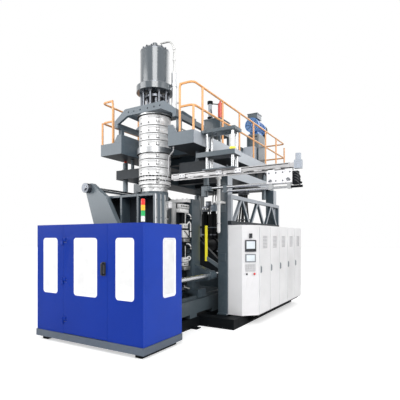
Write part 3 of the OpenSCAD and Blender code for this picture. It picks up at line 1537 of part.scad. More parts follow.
module robot_posts() {
  color(bright) post_holes(robot_plate_z + foot_plate_t + seat,
    robot_top_z - robot_plate_z - foot_plate_t - 2 * seat, robot_post_d);
  color(steel_dark) difference() {
    block([robot_post_x - 90, bracket_y0, robot_top_z], [bracket_x1, bracket_y1, robot_top_z + 60]);
    for (x = [robot_post_x + 120, robot_post_x + robot_post_pitch - 120]) {
      rod_z([x, arm_y, robot_top_z - 2], 90, 64);
    }
  }
}

// T-shaped rail under the beam, grown all round for the slot that runs on it
module t_rail(x0, x1, grow, top) {
  block([x0, arm_y - 8 - grow, robot_beam_z - beam_rail_h], [x1, arm_y + 8 + grow, top]);
  block([x0, arm_y - beam_rail_w / 2 - grow, robot_beam_z - beam_rail_h - grow],
    [x1, arm_y + beam_rail_w / 2 + grow, robot_beam_z - 10 + grow]);
}

// Beam with slots and an under-rail, a foot plate for the posts and a geared motor at its end
module robot_beam() {
  pitch = (robot_beam_x1 - robot_beam_x0) / slot_n;
  color([0.62, 0.62, 0.62]) {
    difference() {
      block([robot_beam_x0, robot_beam_y, robot_beam_z],
        [robot_beam_x1, robot_beam_y + robot_beam_t, robot_plate_z]);
      for (i = [0 : slot_n - 1]) {
        block([robot_beam_x0 + (i + 0.2) * pitch, robot_beam_y - 1, robot_beam_z + 12],
          [robot_beam_x0 + (i + 0.8) * pitch, robot_beam_y + 12, robot_beam_z + 26]);
      }
    }
    t_rail(robot_beam_x0 + 40, robot_beam_x1 + 60, 0, robot_beam_z + 1);
    block([robot_beam_x1 - 1, robot_beam_y + 5, robot_beam_z + 10],
      [robot_beam_x1 + 81, robot_beam_y + 65, robot_plate_z - 10]);
    block([robot_beam_x1 + 80, robot_beam_y - 10, robot_beam_z - 10],
      [robot_beam_x1 + 200, robot_beam_y + 80, robot_plate_z + 30]);
    rod_z([robot_beam_x1 + 140, arm_y, robot_plate_z + 29], 90, 110);
    block([robot_post_x - 80, bracket_y0 + 10, robot_plate_z + seat],
      [bracket_x1 - 20, bracket_y1 - 10, robot_plate_z + foot_plate_t]);
  }
}

// Carriage on the under-rail: shoes, face plate, valve block and the gripper's two long tubes
module robot_carriage() {
  x1 = carriage_x + carriage_w;
  color([0.93, 0.93, 0.93]) {
    difference() {
      block([carriage_x, robot_beam_y - 30, carriage_z0], [x1, robot_beam_y - 10, carriage_z1]);
      for (x = [carriage_x + 40, x1 - 40, x1 - 120], z = [carriage_z0 + 60, carriage_z1 - 40]) {
        rod_y([x, robot_beam_y - 31, z], 20, 10);
      }
    }
    for (x = [carriage_x + 10, x1 - 130]) {
      difference() {
        block([x, robot_beam_y - 11, robot_beam_z - 75], [x + 120, arm_y + 45, robot_beam_z - 4]);
        t_rail(x - 1, x + 121, seat, robot_beam_z);
      }
    }
  }
  color(bright) {
    rod_x([arm_x0, arm_y, arm_top_z], arm_d, x1 - arm_x0);
    rod_x([arm_low_x0, arm_y, arm_low_z], arm_low_d, arm_x1 - arm_low_x0);
    for (x = [carriage_x + 30, x1 - 90]) {
      block([x, robot_beam_y - 11, arm_low_z - 30], [x + 60, arm_y + 35, arm_top_z + 35]);
    }
    block([arm_low_x0 + 20, arm_y - 30, arm_low_z - 28], [arm_low_x0 + 90, arm_y + 30, arm_top_z + 32]);
    block([arm_x0 - 1, arm_y - jaw_body, arm_top_z - 45], [arm_x0 + 60, arm_y + jaw_body, arm_top_z + 35]);
    for (z = jaw_pin_zs) {
      rod_y([jaw_pin_x, arm_y - jaw_body - jaw_t - jaw_stroke - 10, z], jaw_pin_d,
        2 * (jaw_body + jaw_t + jaw_stroke + 10));
    }
  }
  color([0.15, 0.16, 0.2]) {
    block([x1 + seat, robot_beam_y - 25, arm_low_z + 30], [x1 + 90, arm_y + 40, carriage_z1 - 30]);
    block([x1 - 1, arm_y - 20, arm_top_z - 10], [x1 + 2, arm_y + 20, arm_top_z + 30]);
    rod_y([x1 + 120, robot_beam_y - 25, arm_low_z + 60], 40, 90);
    block([x1 + 89, robot_beam_y - 15, arm_low_z + 40], [x1 + 125, arm_y + 30, arm_low_z + 80]);
  }
}

jaw_l = 110;
jaw_h = 150;
jaw_t = 24;
jaw_body = 45;
jaw_gap = 60;
jaw_pin_d = 14;
jaw_pin_x = arm_x0 + 30;
jaw_pin_zs = [arm_top_z - 28, arm_top_z + 18];
pad_x = arm_x0 - jaw_l;

// One finger of the gripper: an ear bored for two guide pins, a bar and a hollowed pad
module gripper_jaw() {
  y0 = arm_y - jaw_body - seat - jaw_t;
  color([0.25, 0.26, 0.28]) difference() {
    union() {
      block([pad_x, y0, arm_top_z - 45], [arm_x0 + 55, y0 + jaw_t, arm_top_z + 35]);
      block([pad_x, y0, arm_top_z - jaw_h], [pad_x + 70, arm_y - jaw_gap / 2 + 12, arm_top_z + 35]);
    }
    rod_z([pad_x + 35, arm_y, arm_top_z - jaw_h - 1], jaw_gap, jaw_h + 40);
    for (z = jaw_pin_zs) rod_y([jaw_pin_x, y0 - 1, z], jaw_pin_d + 2 * run_fit, jaw_t + 2);
  }
}

base_frame();
clamp_bed();
columns();
top_frame();
side_trusses();
platform_guides();
guard_frame();
guard_panels();
guard_windows();
signal_lamp();
cabinet_shell();
operator_panels();
air_pipe();
hydraulic_unit();
blow_unit();
light_curtain();
platform_frame();
platform_deck();
railing();
jack_rods();
head_body();
heater_bands();
head_yoke();
head_tie_rods();
top_cylinder();
die_neck();
die_sleeve();
extruder_barrel();
feed_chute();
gearbox();
drive_motor();
servo_unit();
accumulator_bottle();
accumulator_ram();
die_mandrel();
extruder_screw();
safety_door();
door_window();
door_handle();
front_platen();
front_mould();
tie_bars();
end_plates();
clamp_cylinder();
rear_platen();
rear_mould();
mould_cylinder();
blow_pin();
robot_posts();
robot_beam();
robot_carriage();
gripper_jaw();  // gripper_jaw_front
translate([0, 2 * arm_y, 0]) mirror([0, 1, 0]) gripper_jaw();  // gripper_jaw_rear
cabinet_door(0);  // cabinet_door_1
cabinet_door(1);  // cabinet_door_2
cabinet_door(2);  // cabinet_door_3
cabinet_door(3);  // cabinet_door_4
cabinet_door(4);  // cabinet_door_5
emergency_stop();
selector_switch();
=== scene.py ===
"""Looks of the accumulator-head blow moulding machine: finishes, covers, pipes and small fittings."""
import json
import math

import bmesh
import bpy
from mathutils import Matrix, Vector

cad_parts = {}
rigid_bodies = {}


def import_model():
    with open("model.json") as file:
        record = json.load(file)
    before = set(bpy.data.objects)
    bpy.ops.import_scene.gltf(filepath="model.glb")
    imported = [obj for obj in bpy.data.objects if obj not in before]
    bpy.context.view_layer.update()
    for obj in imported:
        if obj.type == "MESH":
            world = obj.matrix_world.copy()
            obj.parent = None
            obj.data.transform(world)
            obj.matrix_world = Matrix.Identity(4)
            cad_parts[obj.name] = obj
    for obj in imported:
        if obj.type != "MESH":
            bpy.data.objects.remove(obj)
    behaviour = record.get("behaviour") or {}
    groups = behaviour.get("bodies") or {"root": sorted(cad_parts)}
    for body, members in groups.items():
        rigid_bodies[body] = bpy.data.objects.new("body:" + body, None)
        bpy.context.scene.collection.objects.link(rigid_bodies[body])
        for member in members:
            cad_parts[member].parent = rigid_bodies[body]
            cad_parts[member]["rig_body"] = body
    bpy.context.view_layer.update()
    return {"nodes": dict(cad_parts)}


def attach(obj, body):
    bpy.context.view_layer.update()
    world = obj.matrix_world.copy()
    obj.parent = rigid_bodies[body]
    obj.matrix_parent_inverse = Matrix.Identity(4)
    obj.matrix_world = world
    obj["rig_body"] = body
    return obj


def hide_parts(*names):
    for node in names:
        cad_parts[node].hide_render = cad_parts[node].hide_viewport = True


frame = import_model()


# Materials: each is a Principled shader fed by noise on Object coordinates

cloud_scale = 1.3  # noise of the enamel's tone, of its dust and of its orange-peel skin
speck_scale = 18
peel_scale = 260
peel_strength = 0.12
dust_colour = (0.45, 0.44, 0.42)
coat_rough = 0.12


def shader(name):
    """A new material with its nodes, its links and its Principled shader."""
    mat = bpy.data.materials.new(name)
    mat.use_nodes = True
    nodes = mat.node_tree.nodes
    return mat, nodes, mat.node_tree.links, nodes["Principled BSDF"]


def noise(nodes, links, scale, detail, stretch=(1, 1, 1), rough=0.55):
    """A noise texture on Object coordinates; returns its factor output."""
    where = nodes.new("ShaderNodeTexCoord")
    mapping = nodes.new("ShaderNodeMapping")
    mapping.inputs["Scale"].default_value = stretch
    texture = nodes.new("ShaderNodeTexNoise")
    texture.inputs["Scale"].default_value = scale
    texture.inputs["Detail"].default_value = detail
    texture.inputs["Roughness"].default_value = rough
    links.new(where.outputs["Object"], mapping.inputs["Vector"])
    links.new(mapping.outputs["Vector"], texture.inputs["Vector"])
    return texture.outputs["Fac"]


def ramp(nodes, links, source, low, high, stops=(0.3, 0.7)):
    """A colour ramp between two colours, driven by a factor."""
    node = nodes.new("ShaderNodeValToRGB")
    node.color_ramp.elements[0].position = stops[0]
    node.color_ramp.elements[1].position = stops[1]
    node.color_ramp.elements[0].color = (*low, 1)
    node.color_ramp.elements[1].color = (*high, 1)
    links.new(source, node.inputs["Fac"])
    return node.outputs["Color"]


def spread(nodes, links, source, low, high):
    """Maps a factor to a range of plain numbers."""
    node = nodes.new("ShaderNodeMapRange")
    node.inputs["To Min"].default_value = low
    node.inputs["To Max"].default_value = high
    links.new(source, node.inputs["Value"])
    return node.outputs["Result"]


def bump(nodes, links, bsdf, height, strength, distance):
    """Relief on the shader's normal from a height factor."""
    node = nodes.new("ShaderNodeBump")
    node.inputs["Strength"].default_value = strength
    node.inputs["Distance"].default_value = distance
    links.new(height, node.inputs["Height"])
    links.new(node.outputs["Normal"], bsdf.inputs["Normal"])


def shade(colour, factor):
    """A colour made lighter or darker, kept within 1."""
    return tuple(min(1.0, c * factor) for c in colour)


def paint(name, colour, rough, coat, dust=0.06, gloss=0.5):
    """Sprayed enamel: cloudy tone, orange-peel skin, uneven gloss and a little settled dust."""
    mat, nodes, links, bsdf = shader(name)
    cloud = noise(nodes, links, cloud_scale, 5)
    base = ramp(nodes, links, cloud, shade(colour, 0.93), shade(colour, 1.07))
    speck = noise(nodes, links, speck_scale, 6, rough=0.7)
    film = nodes.new("ShaderNodeMixRGB")
    film.inputs["Color2"].default_value = (*dust_colour, 1)
    links.new(base, film.inputs["Color1"])
    links.new(spread(nodes, links, speck, -dust, dust * 1.6), film.inputs["Fac"])
    links.new(film.outputs["Color"], bsdf.inputs["Base Color"])
    links.new(spread(nodes, links, speck, rough - 0.08, rough + 0.1), bsdf.inputs["Roughness"])
    bsdf.inputs["Coat Weight"].default_value = coat
    bsdf.inputs["Coat Roughness"].default_value = coat_rough
    bsdf.inputs["Specular IOR Level"].default_value = gloss
    bump(nodes, links, bsdf, noise(nodes, links, peel_scale, 2), peel_strength, 0.0008)
    return mat


def metal(name, colour, rough, stretch, grain, depth, tint=0.08, metallic=1.0):
    """Bare metal with a fine grain that runs along the short axis of its stretch."""
    mat, nodes, links, bsdf = shader(name)
    lines = noise(nodes, links, grain, 6, stretch, 0.65)
    tone = noise(nodes, links, 2.5, 4)
    grain_colour = ramp(nodes, links, tone, shade(colour, 1 - tint), shade(colour, 1 + tint))
    links.new(grain_colour, bsdf.inputs["Base Color"])
    bsdf.inputs["Metallic"].default_value = metallic
    links.new(spread(nodes, links, lines, rough - 0.1, rough + 0.14), bsdf.inputs["Roughness"])
    bump(nodes, links, bsdf, lines, depth, 0.0006)
    return mat


def plastic(name, colour, rough, grain=0.1, glow=0.0):
    """Moulded plastic, glass or smooth enamel with a fine grain; glow lights it a little from within."""
    mat, nodes, links, bsdf = shader(name)
    tone = noise(nodes, links, 6, 4)
    links.new(ramp(nodes, links, tone, shade(colour, 0.94), shade(colour, 1.06)), bsdf.inputs["Base Color"])
    fine = noise(nodes, links, 320, 3)
    links.new(spread(nodes, links, fine, rough - 0.06, rough + 0.08), bsdf.inputs["Roughness"])
    bump(nodes, links, bsdf, fine, grain, 0.0005)
    if glow:
        bsdf.inputs["Emission Color"].default_value = (*colour, 1)
        bsdf.inputs["Emission Strength"].default_value = glow
    return mat


slate_paint = paint("slate_paint", (0.054, 0.079, 0.098), 0.36, 0.4)
gusset_paint = paint("gusset_paint", (0.08, 0.112, 0.14), 0.38, 0.3)
bed_paint = paint("bed_paint", (0.062, 0.084, 0.098), 0.42, 0.2)
# A paler copy of the frame paint for outer right (+X) faces: painted light.
lit_side_paint = paint("lit_side_paint", (0.44, 0.475, 0.52), 0.4, 0.25)
# A near-black paint for undersides and faces in shadow: painted shade.
painted_shade = paint("painted_shade", (0.02, 0.026, 0.033), 0.5, 0.1, 0.03, 0.2)
plate_paint = paint("plate_paint", (0.14, 0.175, 0.2), 0.4, 0.25)
truss_paint = paint("truss_paint", (0.34, 0.37, 0.41), 0.4, 0.25)
cylinder_paint = paint("cylinder_paint", (0.06, 0.079, 0.094), 0.2, 0.8, 0.03, 0.7)
cover_paint = paint("cover_paint", (0.4, 0.44, 0.5), 0.4, 0.25)
black_paint = paint("black_paint", (0.004, 0.0055, 0.007), 0.5, 0.0, 0.006, 0.1)
plinth_paint = paint("plinth_paint", (0.08, 0.105, 0.14), 0.42, 0.15)
guard_paint = paint("guard_paint", (0.002, 0.031, 0.31), 0.34, 0.03, 0.006, 0.14)
# A brighter copy of the guard's blue for its right (+X) faces: painted light.
lit_guard_side = paint("lit_guard_side", (0.012, 0.052, 0.4), 0.34, 0.03, 0.006, 0.14)
white_paint = paint("white_paint", (0.89, 0.885, 0.895), 0.38, 0.2, 0.015, 0.4)
# A brighter copy of the cabinet's white for its front (-Y) panels: painted light.
lit_front_white = paint("lit_front_white", (0.97, 0.965, 0.97), 0.38, 0.2, 0.005, 0.4)
vent_grey = paint("vent_grey", (0.5, 0.5, 0.52), 0.55, 0.05, 0.02)
orange_paint = paint("orange_paint", (0.84, 0.4, 0.14), 0.35, 0.4, 0.03)
red_paint = paint("red_paint", (0.68, 0.06, 0.03), 0.35, 0.4, 0.03)
motor_paint = paint("motor_paint", (0.09, 0.26, 0.62), 0.35, 0.4, 0.03)
yellow_paint = paint("yellow_paint", (0.85, 0.7, 0.02), 0.35, 0.3, 0.02)
gear_plate = metal("gear_plate", (0.62, 0.5, 0.3), 0.4, (1, 1, 1), 40, 0.1)
heater_steel = metal("heater_steel", (0.66, 0.66, 0.66), 0.42, (1, 1, 40), 14, 0.1, 0.05)
cover_steel = metal("cover_steel", (0.84, 0.84, 0.84), 0.36, (1, 1, 40), 14, 0.1, 0.04, 0.3)
machined = metal("machined", (0.55, 0.56, 0.57), 0.34, (1, 1, 30), 20, 0.12)
dark_steel = metal("dark_steel", (0.16, 0.17, 0.19), 0.32, (1, 1, 12), 30, 0.1)
chrome = metal("chrome", (0.78, 0.79, 0.8), 0.2, (1, 1, 12), 30, 0.04, 0.03)
rod_steel = metal("rod_steel", (0.5, 0.51, 0.52), 0.24, (1, 1, 12), 30, 0.05, 0.04)
beam_metal = metal("beam_metal", (0.49, 0.485, 0.49), 0.42, (1, 30, 30), 10, 0.12)
zinc = metal("zinc", (0.5, 0.5, 0.49), 0.4, (1, 1, 1), 90, 0.12)
mould_metal = metal("mould_metal", (0.5, 0.51, 0.51), 0.38, (1, 1, 25), 18, 0.15)
pale_steel = plastic("pale_steel", (0.76, 0.76, 0.75), 0.3, 0.05)
# The panes and their rims glow a little though they are no lamps: painted light.
pane_plastic = plastic("pane_plastic", (0.82, 0.82, 0.815), 0.3, 0.03, 0.08)
pane_rim = plastic("pane_rim", (0.9, 0.91, 0.93), 0.3, 0.03, 0.12)
rubber = plastic("rubber", (0.02, 0.02, 0.022), 0.6, 0.3)
black_plastic = plastic("black_plastic", (0.02, 0.022, 0.026), 0.4)
grey_plastic = plastic("grey_plastic", (0.26, 0.28, 0.3), 0.45)
pale_plastic = plastic("pale_plastic", (0.6, 0.6, 0.61), 0.45)
key_plastic = plastic("key_plastic", (0.42, 0.42, 0.43), 0.5)
# The glow of this yellow is painted light; the curtain and the scraper ring that use it are no lamps.
curtain_yellow = plastic("curtain_yellow", (0.95, 0.83, 0.04), 0.35, 0.1, 0.3)
valve_blue = plastic("valve_blue", (0.4, 0.5, 0.6), 0.4)
screen_glass = plastic("screen_glass", (0.74, 0.8, 0.84), 0.12, 0.0, 0.15)
lens_red = plastic("lens_red", (0.75, 0.04, 0.03), 0.2, 0.02, 0.15)
lens_yellow = plastic("lens_yellow", (0.9, 0.5, 0.03), 0.2, 0.02, 0.15)
lens_green = plastic("lens_green", (0.02, 0.42, 0.12), 0.2, 0.02, 0.15)
lens_white = plastic("lens_white", (0.85, 0.86, 0.87), 0.25, 0.02)
stop_red = plastic("stop_red", (0.7, 0.02, 0.02), 0.25)


def tread_plate():
    """Chequer plate: raised lozenges from two crossed waves."""
    mat, nodes, links, bsdf = shader("tread_plate")
    where = nodes.new("ShaderNodeTexCoord")
    ridges = []
    for turn in (math.radians(45), math.radians(-45)):
        mapping = nodes.new("ShaderNodeMapping")
        mapping.inputs["Rotation"].default_value = (0, 0, turn)
        wave = nodes.new("ShaderNodeTexWave")
        wave.inputs["Scale"].default_value = 9
        links.new(where.outputs["Object"], mapping.inputs["Vector"])
        links.new(mapping.outputs["Vector"], wave.inputs["Vector"])
        ridges.append(wave.outputs["Fac"])
    cross = nodes.new("ShaderNodeMath")
    cross.operation = "MULTIPLY"
    links.new(ridges[0], cross.inputs[0])
    links.new(ridges[1], cross.inputs[1])
    tone = ramp(nodes, links, cross.outputs["Value"], (0.035, 0.045, 0.055), (0.12, 0.14, 0.16), (0.35, 0.6))
    links.new(tone, bsdf.inputs["Base Color"])
    wear = noise(nodes, links, 5, 5)
    links.new(spread(nodes, links, wear, 0.35, 0.6), bsdf.inputs["Roughness"])
    bsdf.inputs["Metallic"].default_value = 0.6
    bump(nodes, links, bsdf, cross.outputs["Value"], 0.6, 0.003)
    return mat


tread = tread_plate()


# Mesh tools

bend_steps = 5     # straight lengths in the corner of a pipe
bend_share = 0.45  # the most of a leg that its corner takes up
axes = {"x": Matrix.Rotation(math.pi / 2, 4, "Y"), "y": Matrix.Rotation(-math.pi / 2, 4, "X"), "z": Matrix()}


def finish_mesh(bm, name, mats, body, bevel=0.0):
    """Turns a bmesh into a named piece that rides on a body, smooth across gentle edges."""
    mesh = bpy.data.meshes.new(name)
    bm.to_mesh(mesh)
    bm.free()
    for mat in mats:
        mesh.materials.append(mat)
    mesh.shade_smooth()
    mesh.set_sharp_from_angle(angle=math.radians(35))
    piece = bpy.data.objects.new(name, mesh)
    bpy.context.scene.collection.objects.link(piece)
    if bevel:
        edge = piece.modifiers.new("edge", "BEVEL")
        edge.width = bevel
        edge.segments = 2
        edge.limit_method = "ANGLE"
        edge.angle_limit = math.radians(50)
    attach(piece, body)
    return piece


def faces_since(bm, before):
    """Faces made since `before`, the set of the faces that were there."""
    return [f for f in bm.faces if f not in before]


def verts_since(bm, before):
    """Corners of the faces made since `before`."""
    return list(dict.fromkeys(v for f in faces_since(bm, before) for v in f.verts))


def paint_new(bm, before, index):
    """Gives the faces made since `before` a material slot."""
    for face in faces_since(bm, before):
        face.material_index = index


def block(bm, low, high, bevel=0.0, index=0):
    """A box between two corners with rounded edges."""
    before = set(bm.faces)
    size = Vector(high) - Vector(low)
    centre = (Vector(high) + Vector(low)) / 2
    new = bmesh.ops.create_cube(bm, size=1)["verts"]
    bmesh.ops.scale(bm, vec=size, verts=new)
    bmesh.ops.translate(bm, vec=centre, verts=new)
    if bevel:
        edges = list(dict.fromkeys(e for v in new for e in v.link_edges))
        bmesh.ops.bevel(bm, geom=edges, offset=bevel, segments=2, affect="EDGES", profile=0.5, material=-1)
    paint_new(bm, before, index)


def rod(bm, start, axis, radius, length, sides, bevel=0.0, index=0, top=None):
    """A round bar along an axis, backwards for a negative length; top is the radius at its far end."""
    before = set(bm.faces)
    place = Matrix.Translation(start) @ axes[axis] @ Matrix.Translation((0, 0, length / 2))
    new = bmesh.ops.create_cone(bm, cap_ends=True, segments=sides, radius1=radius,
                                radius2=radius if top is None else top, depth=abs(length),
                                matrix=place)["verts"]
    if bevel:
        edges = dict.fromkeys(e for v in new for e in v.link_edges)
        rims = [e for e in edges if any(len(f.verts) > 4 for f in e.link_faces)]
        bmesh.ops.bevel(bm, geom=rims, offset=bevel, segments=2, affect="EDGES", profile=0.5, material=-1)
    paint_new(bm, before, index)


def turned(bm, profile, centre, axis, steps, index=0):
    """A closed profile of (radius, height) points spun round an axis."""
    before = set(bm.faces)
    verts = [bm.verts.new((r, 0, h)) for r, h in profile]
    edges = [bm.edges.new((verts[i], verts[(i + 1) % len(verts)])) for i in range(len(verts))]
    bmesh.ops.spin(bm, geom=verts + edges, cent=(0, 0, 0), axis=(0, 0, 1), angle=2 * math.pi,
                   steps=steps, use_merge=True)
    bmesh.ops.remove_doubles(bm, verts=verts_since(bm, before), dist=1e-6)
    bmesh.ops.recalc_face_normals(bm, faces=faces_since(bm, before))
    bmesh.ops.transform(bm, matrix=Matrix.Translation(centre) @ axes[axis], verts=verts_since(bm, before))
    paint_new(bm, before, index)


def pipe_mesh(bm, points, radius, corner, sides, index=0):
    """A bent tube through points, with round corners and closed ends."""
    path = [Vector(points[0])]
    for back, at, ahead in zip(points, points[1:], points[2:]):
        at = Vector(at)
        back = Vector(back) - at
        ahead = Vector(ahead) - at
        reach = min(corner, back.length * bend_share, ahead.length * bend_share)
        first, last = at + back.normalized() * reach, at + ahead.normalized() * reach
        for k in range(bend_steps + 1):
            t = k / bend_steps
            path.append(first.lerp(at, t).lerp(at.lerp(last, t), t))
    path.append(Vector(points[-1]))
    before = set(bm.faces)
    direction = (path[1] - path[0]).normalized()
    side = direction.orthogonal().normalized()
    turn = Matrix((side, direction.cross(side), direction)).transposed().to_4x4()
    ring = bmesh.ops.create_circle(bm, cap_ends=True, segments=sides, radius=radius,
                                   matrix=Matrix.Translation(path[0]) @ turn)["verts"]
    for i in range(1, len(path)):
        step = path[i] - path[i - 1]
        following = step.normalized()
        if i + 1 < len(path):
            following = ((path[i + 1] - path[i]).normalized() + following).normalized()
        cap = [f for f in faces_since(bm, before)
               if all(v in ring for v in f.verts) and len(f.verts) == sides]
        new = bmesh.ops.extrude_face_region(bm, geom=cap[:1])["geom"]
        if i > 1:
            bmesh.ops.delete(bm, geom=cap[:1], context="FACES_ONLY")
        ring = [g for g in new if isinstance(g, bmesh.types.BMVert)]
        spin = direction.rotation_difference(following).to_matrix()
        bmesh.ops.rotate(bm, cent=path[i - 1], matrix=spin, verts=ring)
        bmesh.ops.translate(bm, vec=step, verts=ring)
        direction = following
    bmesh.ops.recalc_face_normals(bm, faces=faces_since(bm, before))
    paint_new(bm, before, index)


def merged_copy(node):
    """A CAD node's mesh as a bmesh, with its doubles merged and its flat triangles joined."""
    bm = bmesh.new()
    bm.from_mesh(frame["nodes"][node].data)
    bmesh.ops.remove_doubles(bm, verts=bm.verts, dist=1e-5)
    bmesh.ops.dissolve_limit(bm, angle_limit=math.radians(0.5), verts=bm.verts, edges=bm.edges)
    return bm


def dressed(node, mats, rule=None, bevel=0.003):
    """A CAD node's merged copy with soft edges; rule picks a face's finish by its centre and normal."""
    bm = merged_copy(node)
    for face in bm.faces:
        face.material_index = rule(face.calc_center_median(), face.normal) if rule else 0
    piece = finish_mesh(bm, node + "_shell", mats, frame["nodes"][node]["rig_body"], bevel)
    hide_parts(node)


# Finishes of the CAD nodes; a rule picks a finish from a face's centre p and normal n, in metres

facing = 0.7  # a face looks along an axis when that part of its normal is larger
plate_edge = 0.004
sheet_edge = 0.002
panel_edge = 0.0015
fine_edge = 0.001
bays = 5  # the control cabinet's doors, in a row along y
bay_y = 1.073
bay_pitch = 0.615
gear_plate_x = 1.3185


def dress_frames():
    """Floor frame, columns, trusses, platens, platform and oil tank; their right (+X) sides are painted paler
    as painted light, and undersides and hidden faces near black as painted shade.
    """
    column_x, frame_x, platen_x, box_x = 1.2, 1.1, 0.59, 0.6
    platen_rib_y = -0.6
    frame_foot_z = 3.265
    truss_foot_z, truss_far_y = 2.14, 1.2
    pump_x = 0.32
    rod_y, rod_x, rod_low, rod_high = 0.786, 0.15, 1.4, 1.8
    # The columns' paler right (+X) faces are painted light.
    dressed("columns", [slate_paint, lit_side_paint],
            lambda p, n: 1 if n.x > facing and p.x > column_x else 0, plate_edge)
    # The top frame's paler right (+X) faces are painted light; its front and under faces below the frame's
    # foot are near black, painted shade.
    dressed("top_frame", [slate_paint, lit_side_paint, painted_shade],
            lambda p, n: 1 if n.x > facing and p.x > frame_x
            else 2 if p.z < frame_foot_z and (n.y < -facing or n.z < -facing) else 0, plate_edge)
    # The front platen's lighter right (+X) faces in gusset paint are painted light; its front faces set back
    # behind platen_rib_y are near black, painted shade.
    dressed("front_platen", [slate_paint, gusset_paint, painted_shade],
            lambda p, n: 1 if n.x > facing and p.x > platen_x
            else 2 if n.y < -facing and p.y > platen_rib_y else 0,
            plate_edge)
    dressed("base_frame", [black_paint], bevel=plate_edge)
    for node in ("platform_guides", "blow_unit"):
        dressed(node, [plate_paint], bevel=plate_edge)
    dressed("clamp_bed", [bed_paint], bevel=plate_edge)
    # The rear end plates' near-black paint is painted shade.
    dressed("end_plates", [plate_paint, painted_shade], lambda p, n: 1 if p.y > 0 else 0, plate_edge)
    # The trusses' bottom chord below truss_foot_z is near black, painted shade.
    dressed("side_trusses", [truss_paint, slate_paint, painted_shade],
            lambda p, n: 2 if p.z < truss_foot_z
            else 0 if abs(n.x) > facing or n.y < -facing and p.y < truss_far_y else 1, sheet_edge)
    # The platform frame's paler right (+X) faces are painted light; its undersides are near black, painted
    # shade.
    dressed("platform_frame", [gusset_paint, lit_side_paint, painted_shade],
            lambda p, n: 1 if n.x > facing and p.x > box_x else 2 if n.z < -facing else 0, plate_edge)
    dressed("platform_deck", [tread], bevel=fine_edge)
    dressed("head_yoke", [gusset_paint], bevel=plate_edge)
    dressed("jack_rods", [dark_steel, red_paint], lambda p, n: 1 if p.x < 0 else 0, sheet_edge)
    dressed("hydraulic_unit", [slate_paint, motor_paint], lambda p, n: 1 if p.x > pump_x else 0, plate_edge)
    dressed("rear_platen", [slate_paint, chrome],
            lambda p, n: 1 if p.y > rod_y and abs(p.x) < rod_x and rod_low < p.z < rod_high else 0,
            plate_edge)


def dress_clamp():
    """Mould halves, tie bars with bright barrels, cylinders and blow pin."""
    back_plate_y = 0.408
    bar_x, upper_bar_z, lower_bar_z, bar_reach = 0.93, 2.745, 1.011, 0.05
    bar_mid_y, bar_half = 0.35, 1.12
    barrel_lean = math.radians(20)
    valve_x, valve_top_z = 0.386, 2.5
    for node in ("front_mould", "rear_mould"):
        dressed(node, [mould_metal, dark_steel], lambda p, n: 1 if abs(p.y) > back_plate_y else 0)
    dressed("tie_bars", [chrome, dark_steel],
            lambda p, n: 0 if abs(p.y - bar_mid_y) < bar_half or abs(n.y) < barrel_lean
            and math.hypot(abs(p.x) - bar_x,
                           p.z - (upper_bar_z if p.x < 0 else lower_bar_z)) < bar_reach else 1)
    dressed("clamp_cylinder", [black_paint])
    dressed("mould_cylinder", [pale_steel, black_paint],
            lambda p, n: 1 if p.x > valve_x and p.z < valve_top_z else 0)
    dressed("blow_pin", [chrome], bevel=fine_edge)


def dress_head():
    """Accumulator head, its cylinder, the die and the extruder's barrel and feed."""
    flange_r = 0.3
    column, column_r = Vector((0.43, 0.06)), 0.075
    chute_cap_z = 4.84
    dressed("head_body", [black_paint, machined], lambda p, n: 1 if math.hypot(p.x, p.y) > flange_r else 0)
    dressed("head_tie_rods", [dark_steel], bevel=fine_edge)
    dressed("top_cylinder", [cylinder_paint, machined],
            lambda p, n: 1 if (p.xy - column).length < column_r else 0, plate_edge)
    dressed("accumulator_ram", [dark_steel], bevel=sheet_edge)
    dressed("die_neck", [heater_steel])
    dressed("die_sleeve", [slate_paint], bevel=sheet_edge)
    dressed("die_mandrel", [machined], bevel=fine_edge)
    dressed("extruder_screw", [machined], bevel=fine_edge)
    dressed("extruder_barrel", [heater_steel])
    dressed("feed_chute", [zinc, yellow_paint], lambda p, n: 1 if p.z > chute_cap_z else 0)


def dress_drive():
    """Gearbox with the pedestal's pale front, drive motor, servo box and accumulator bottle."""
    pedestal_x0, pedestal_x1, pedestal_y = 0.23, 0.56, 4.135
    belt_guard_y = 4.71
    terminal_box_z = 5.279
    filter_z, can_low, can_high = 4.545, 4.65, 4.93
    dressed("gearbox", [slate_paint, cover_paint, black_paint],
            lambda p, n: 1 if pedestal_x0 < p.x < pedestal_x1 and p.y < pedestal_y
            else 2 if p.y > belt_guard_y else 0, plate_edge)
    # The terminal box's paler right (+X) faces are painted light.
    dressed("drive_motor", [motor_paint, slate_paint, truss_paint],
            lambda p, n: 0 if p.z < terminal_box_z else 2 if n.x > facing else 1)
    dressed("servo_unit", [slate_paint, black_paint, truss_paint],
            lambda p, n: 2 if can_low < p.z < can_high else 1 if p.z > filter_z else 0, plate_edge)
    dressed("accumulator_bottle", [red_paint], bevel=sheet_edge)


def dress_guard():
    """Blue guard on its grey plinth, with panes, door, handle and signal lamp."""
    foot_z, plinth_z = 0.067, 0.181
    lamp_z, lens_h = 2.02, 0.081
    # The brighter blue on the guard's right (+X) faces is painted light.
    dressed("guard_frame", [guard_paint, plinth_paint, black_paint, lit_guard_side],
            lambda p, n: 2 if p.z < foot_z else 1 if p.z < plinth_z else 3 if n.x > 0.9 else 0, sheet_edge)
    dressed("guard_panels", [guard_paint, lit_guard_side], lambda p, n: 1 if n.x > 0.9 else 0, panel_edge)
    dressed("safety_door", [guard_paint], bevel=panel_edge)
    for node in ("guard_windows", "door_window"):
        window_panes(node)
    dressed("door_handle", [black_plastic])
    dressed("signal_lamp", [black_plastic, lens_white, lens_green, lens_yellow, lens_red],
            lambda p, n: min(4, max(0, 1 + int((p.z - lamp_z) / lens_h))) if p.z > lamp_z else 0, sheet_edge)


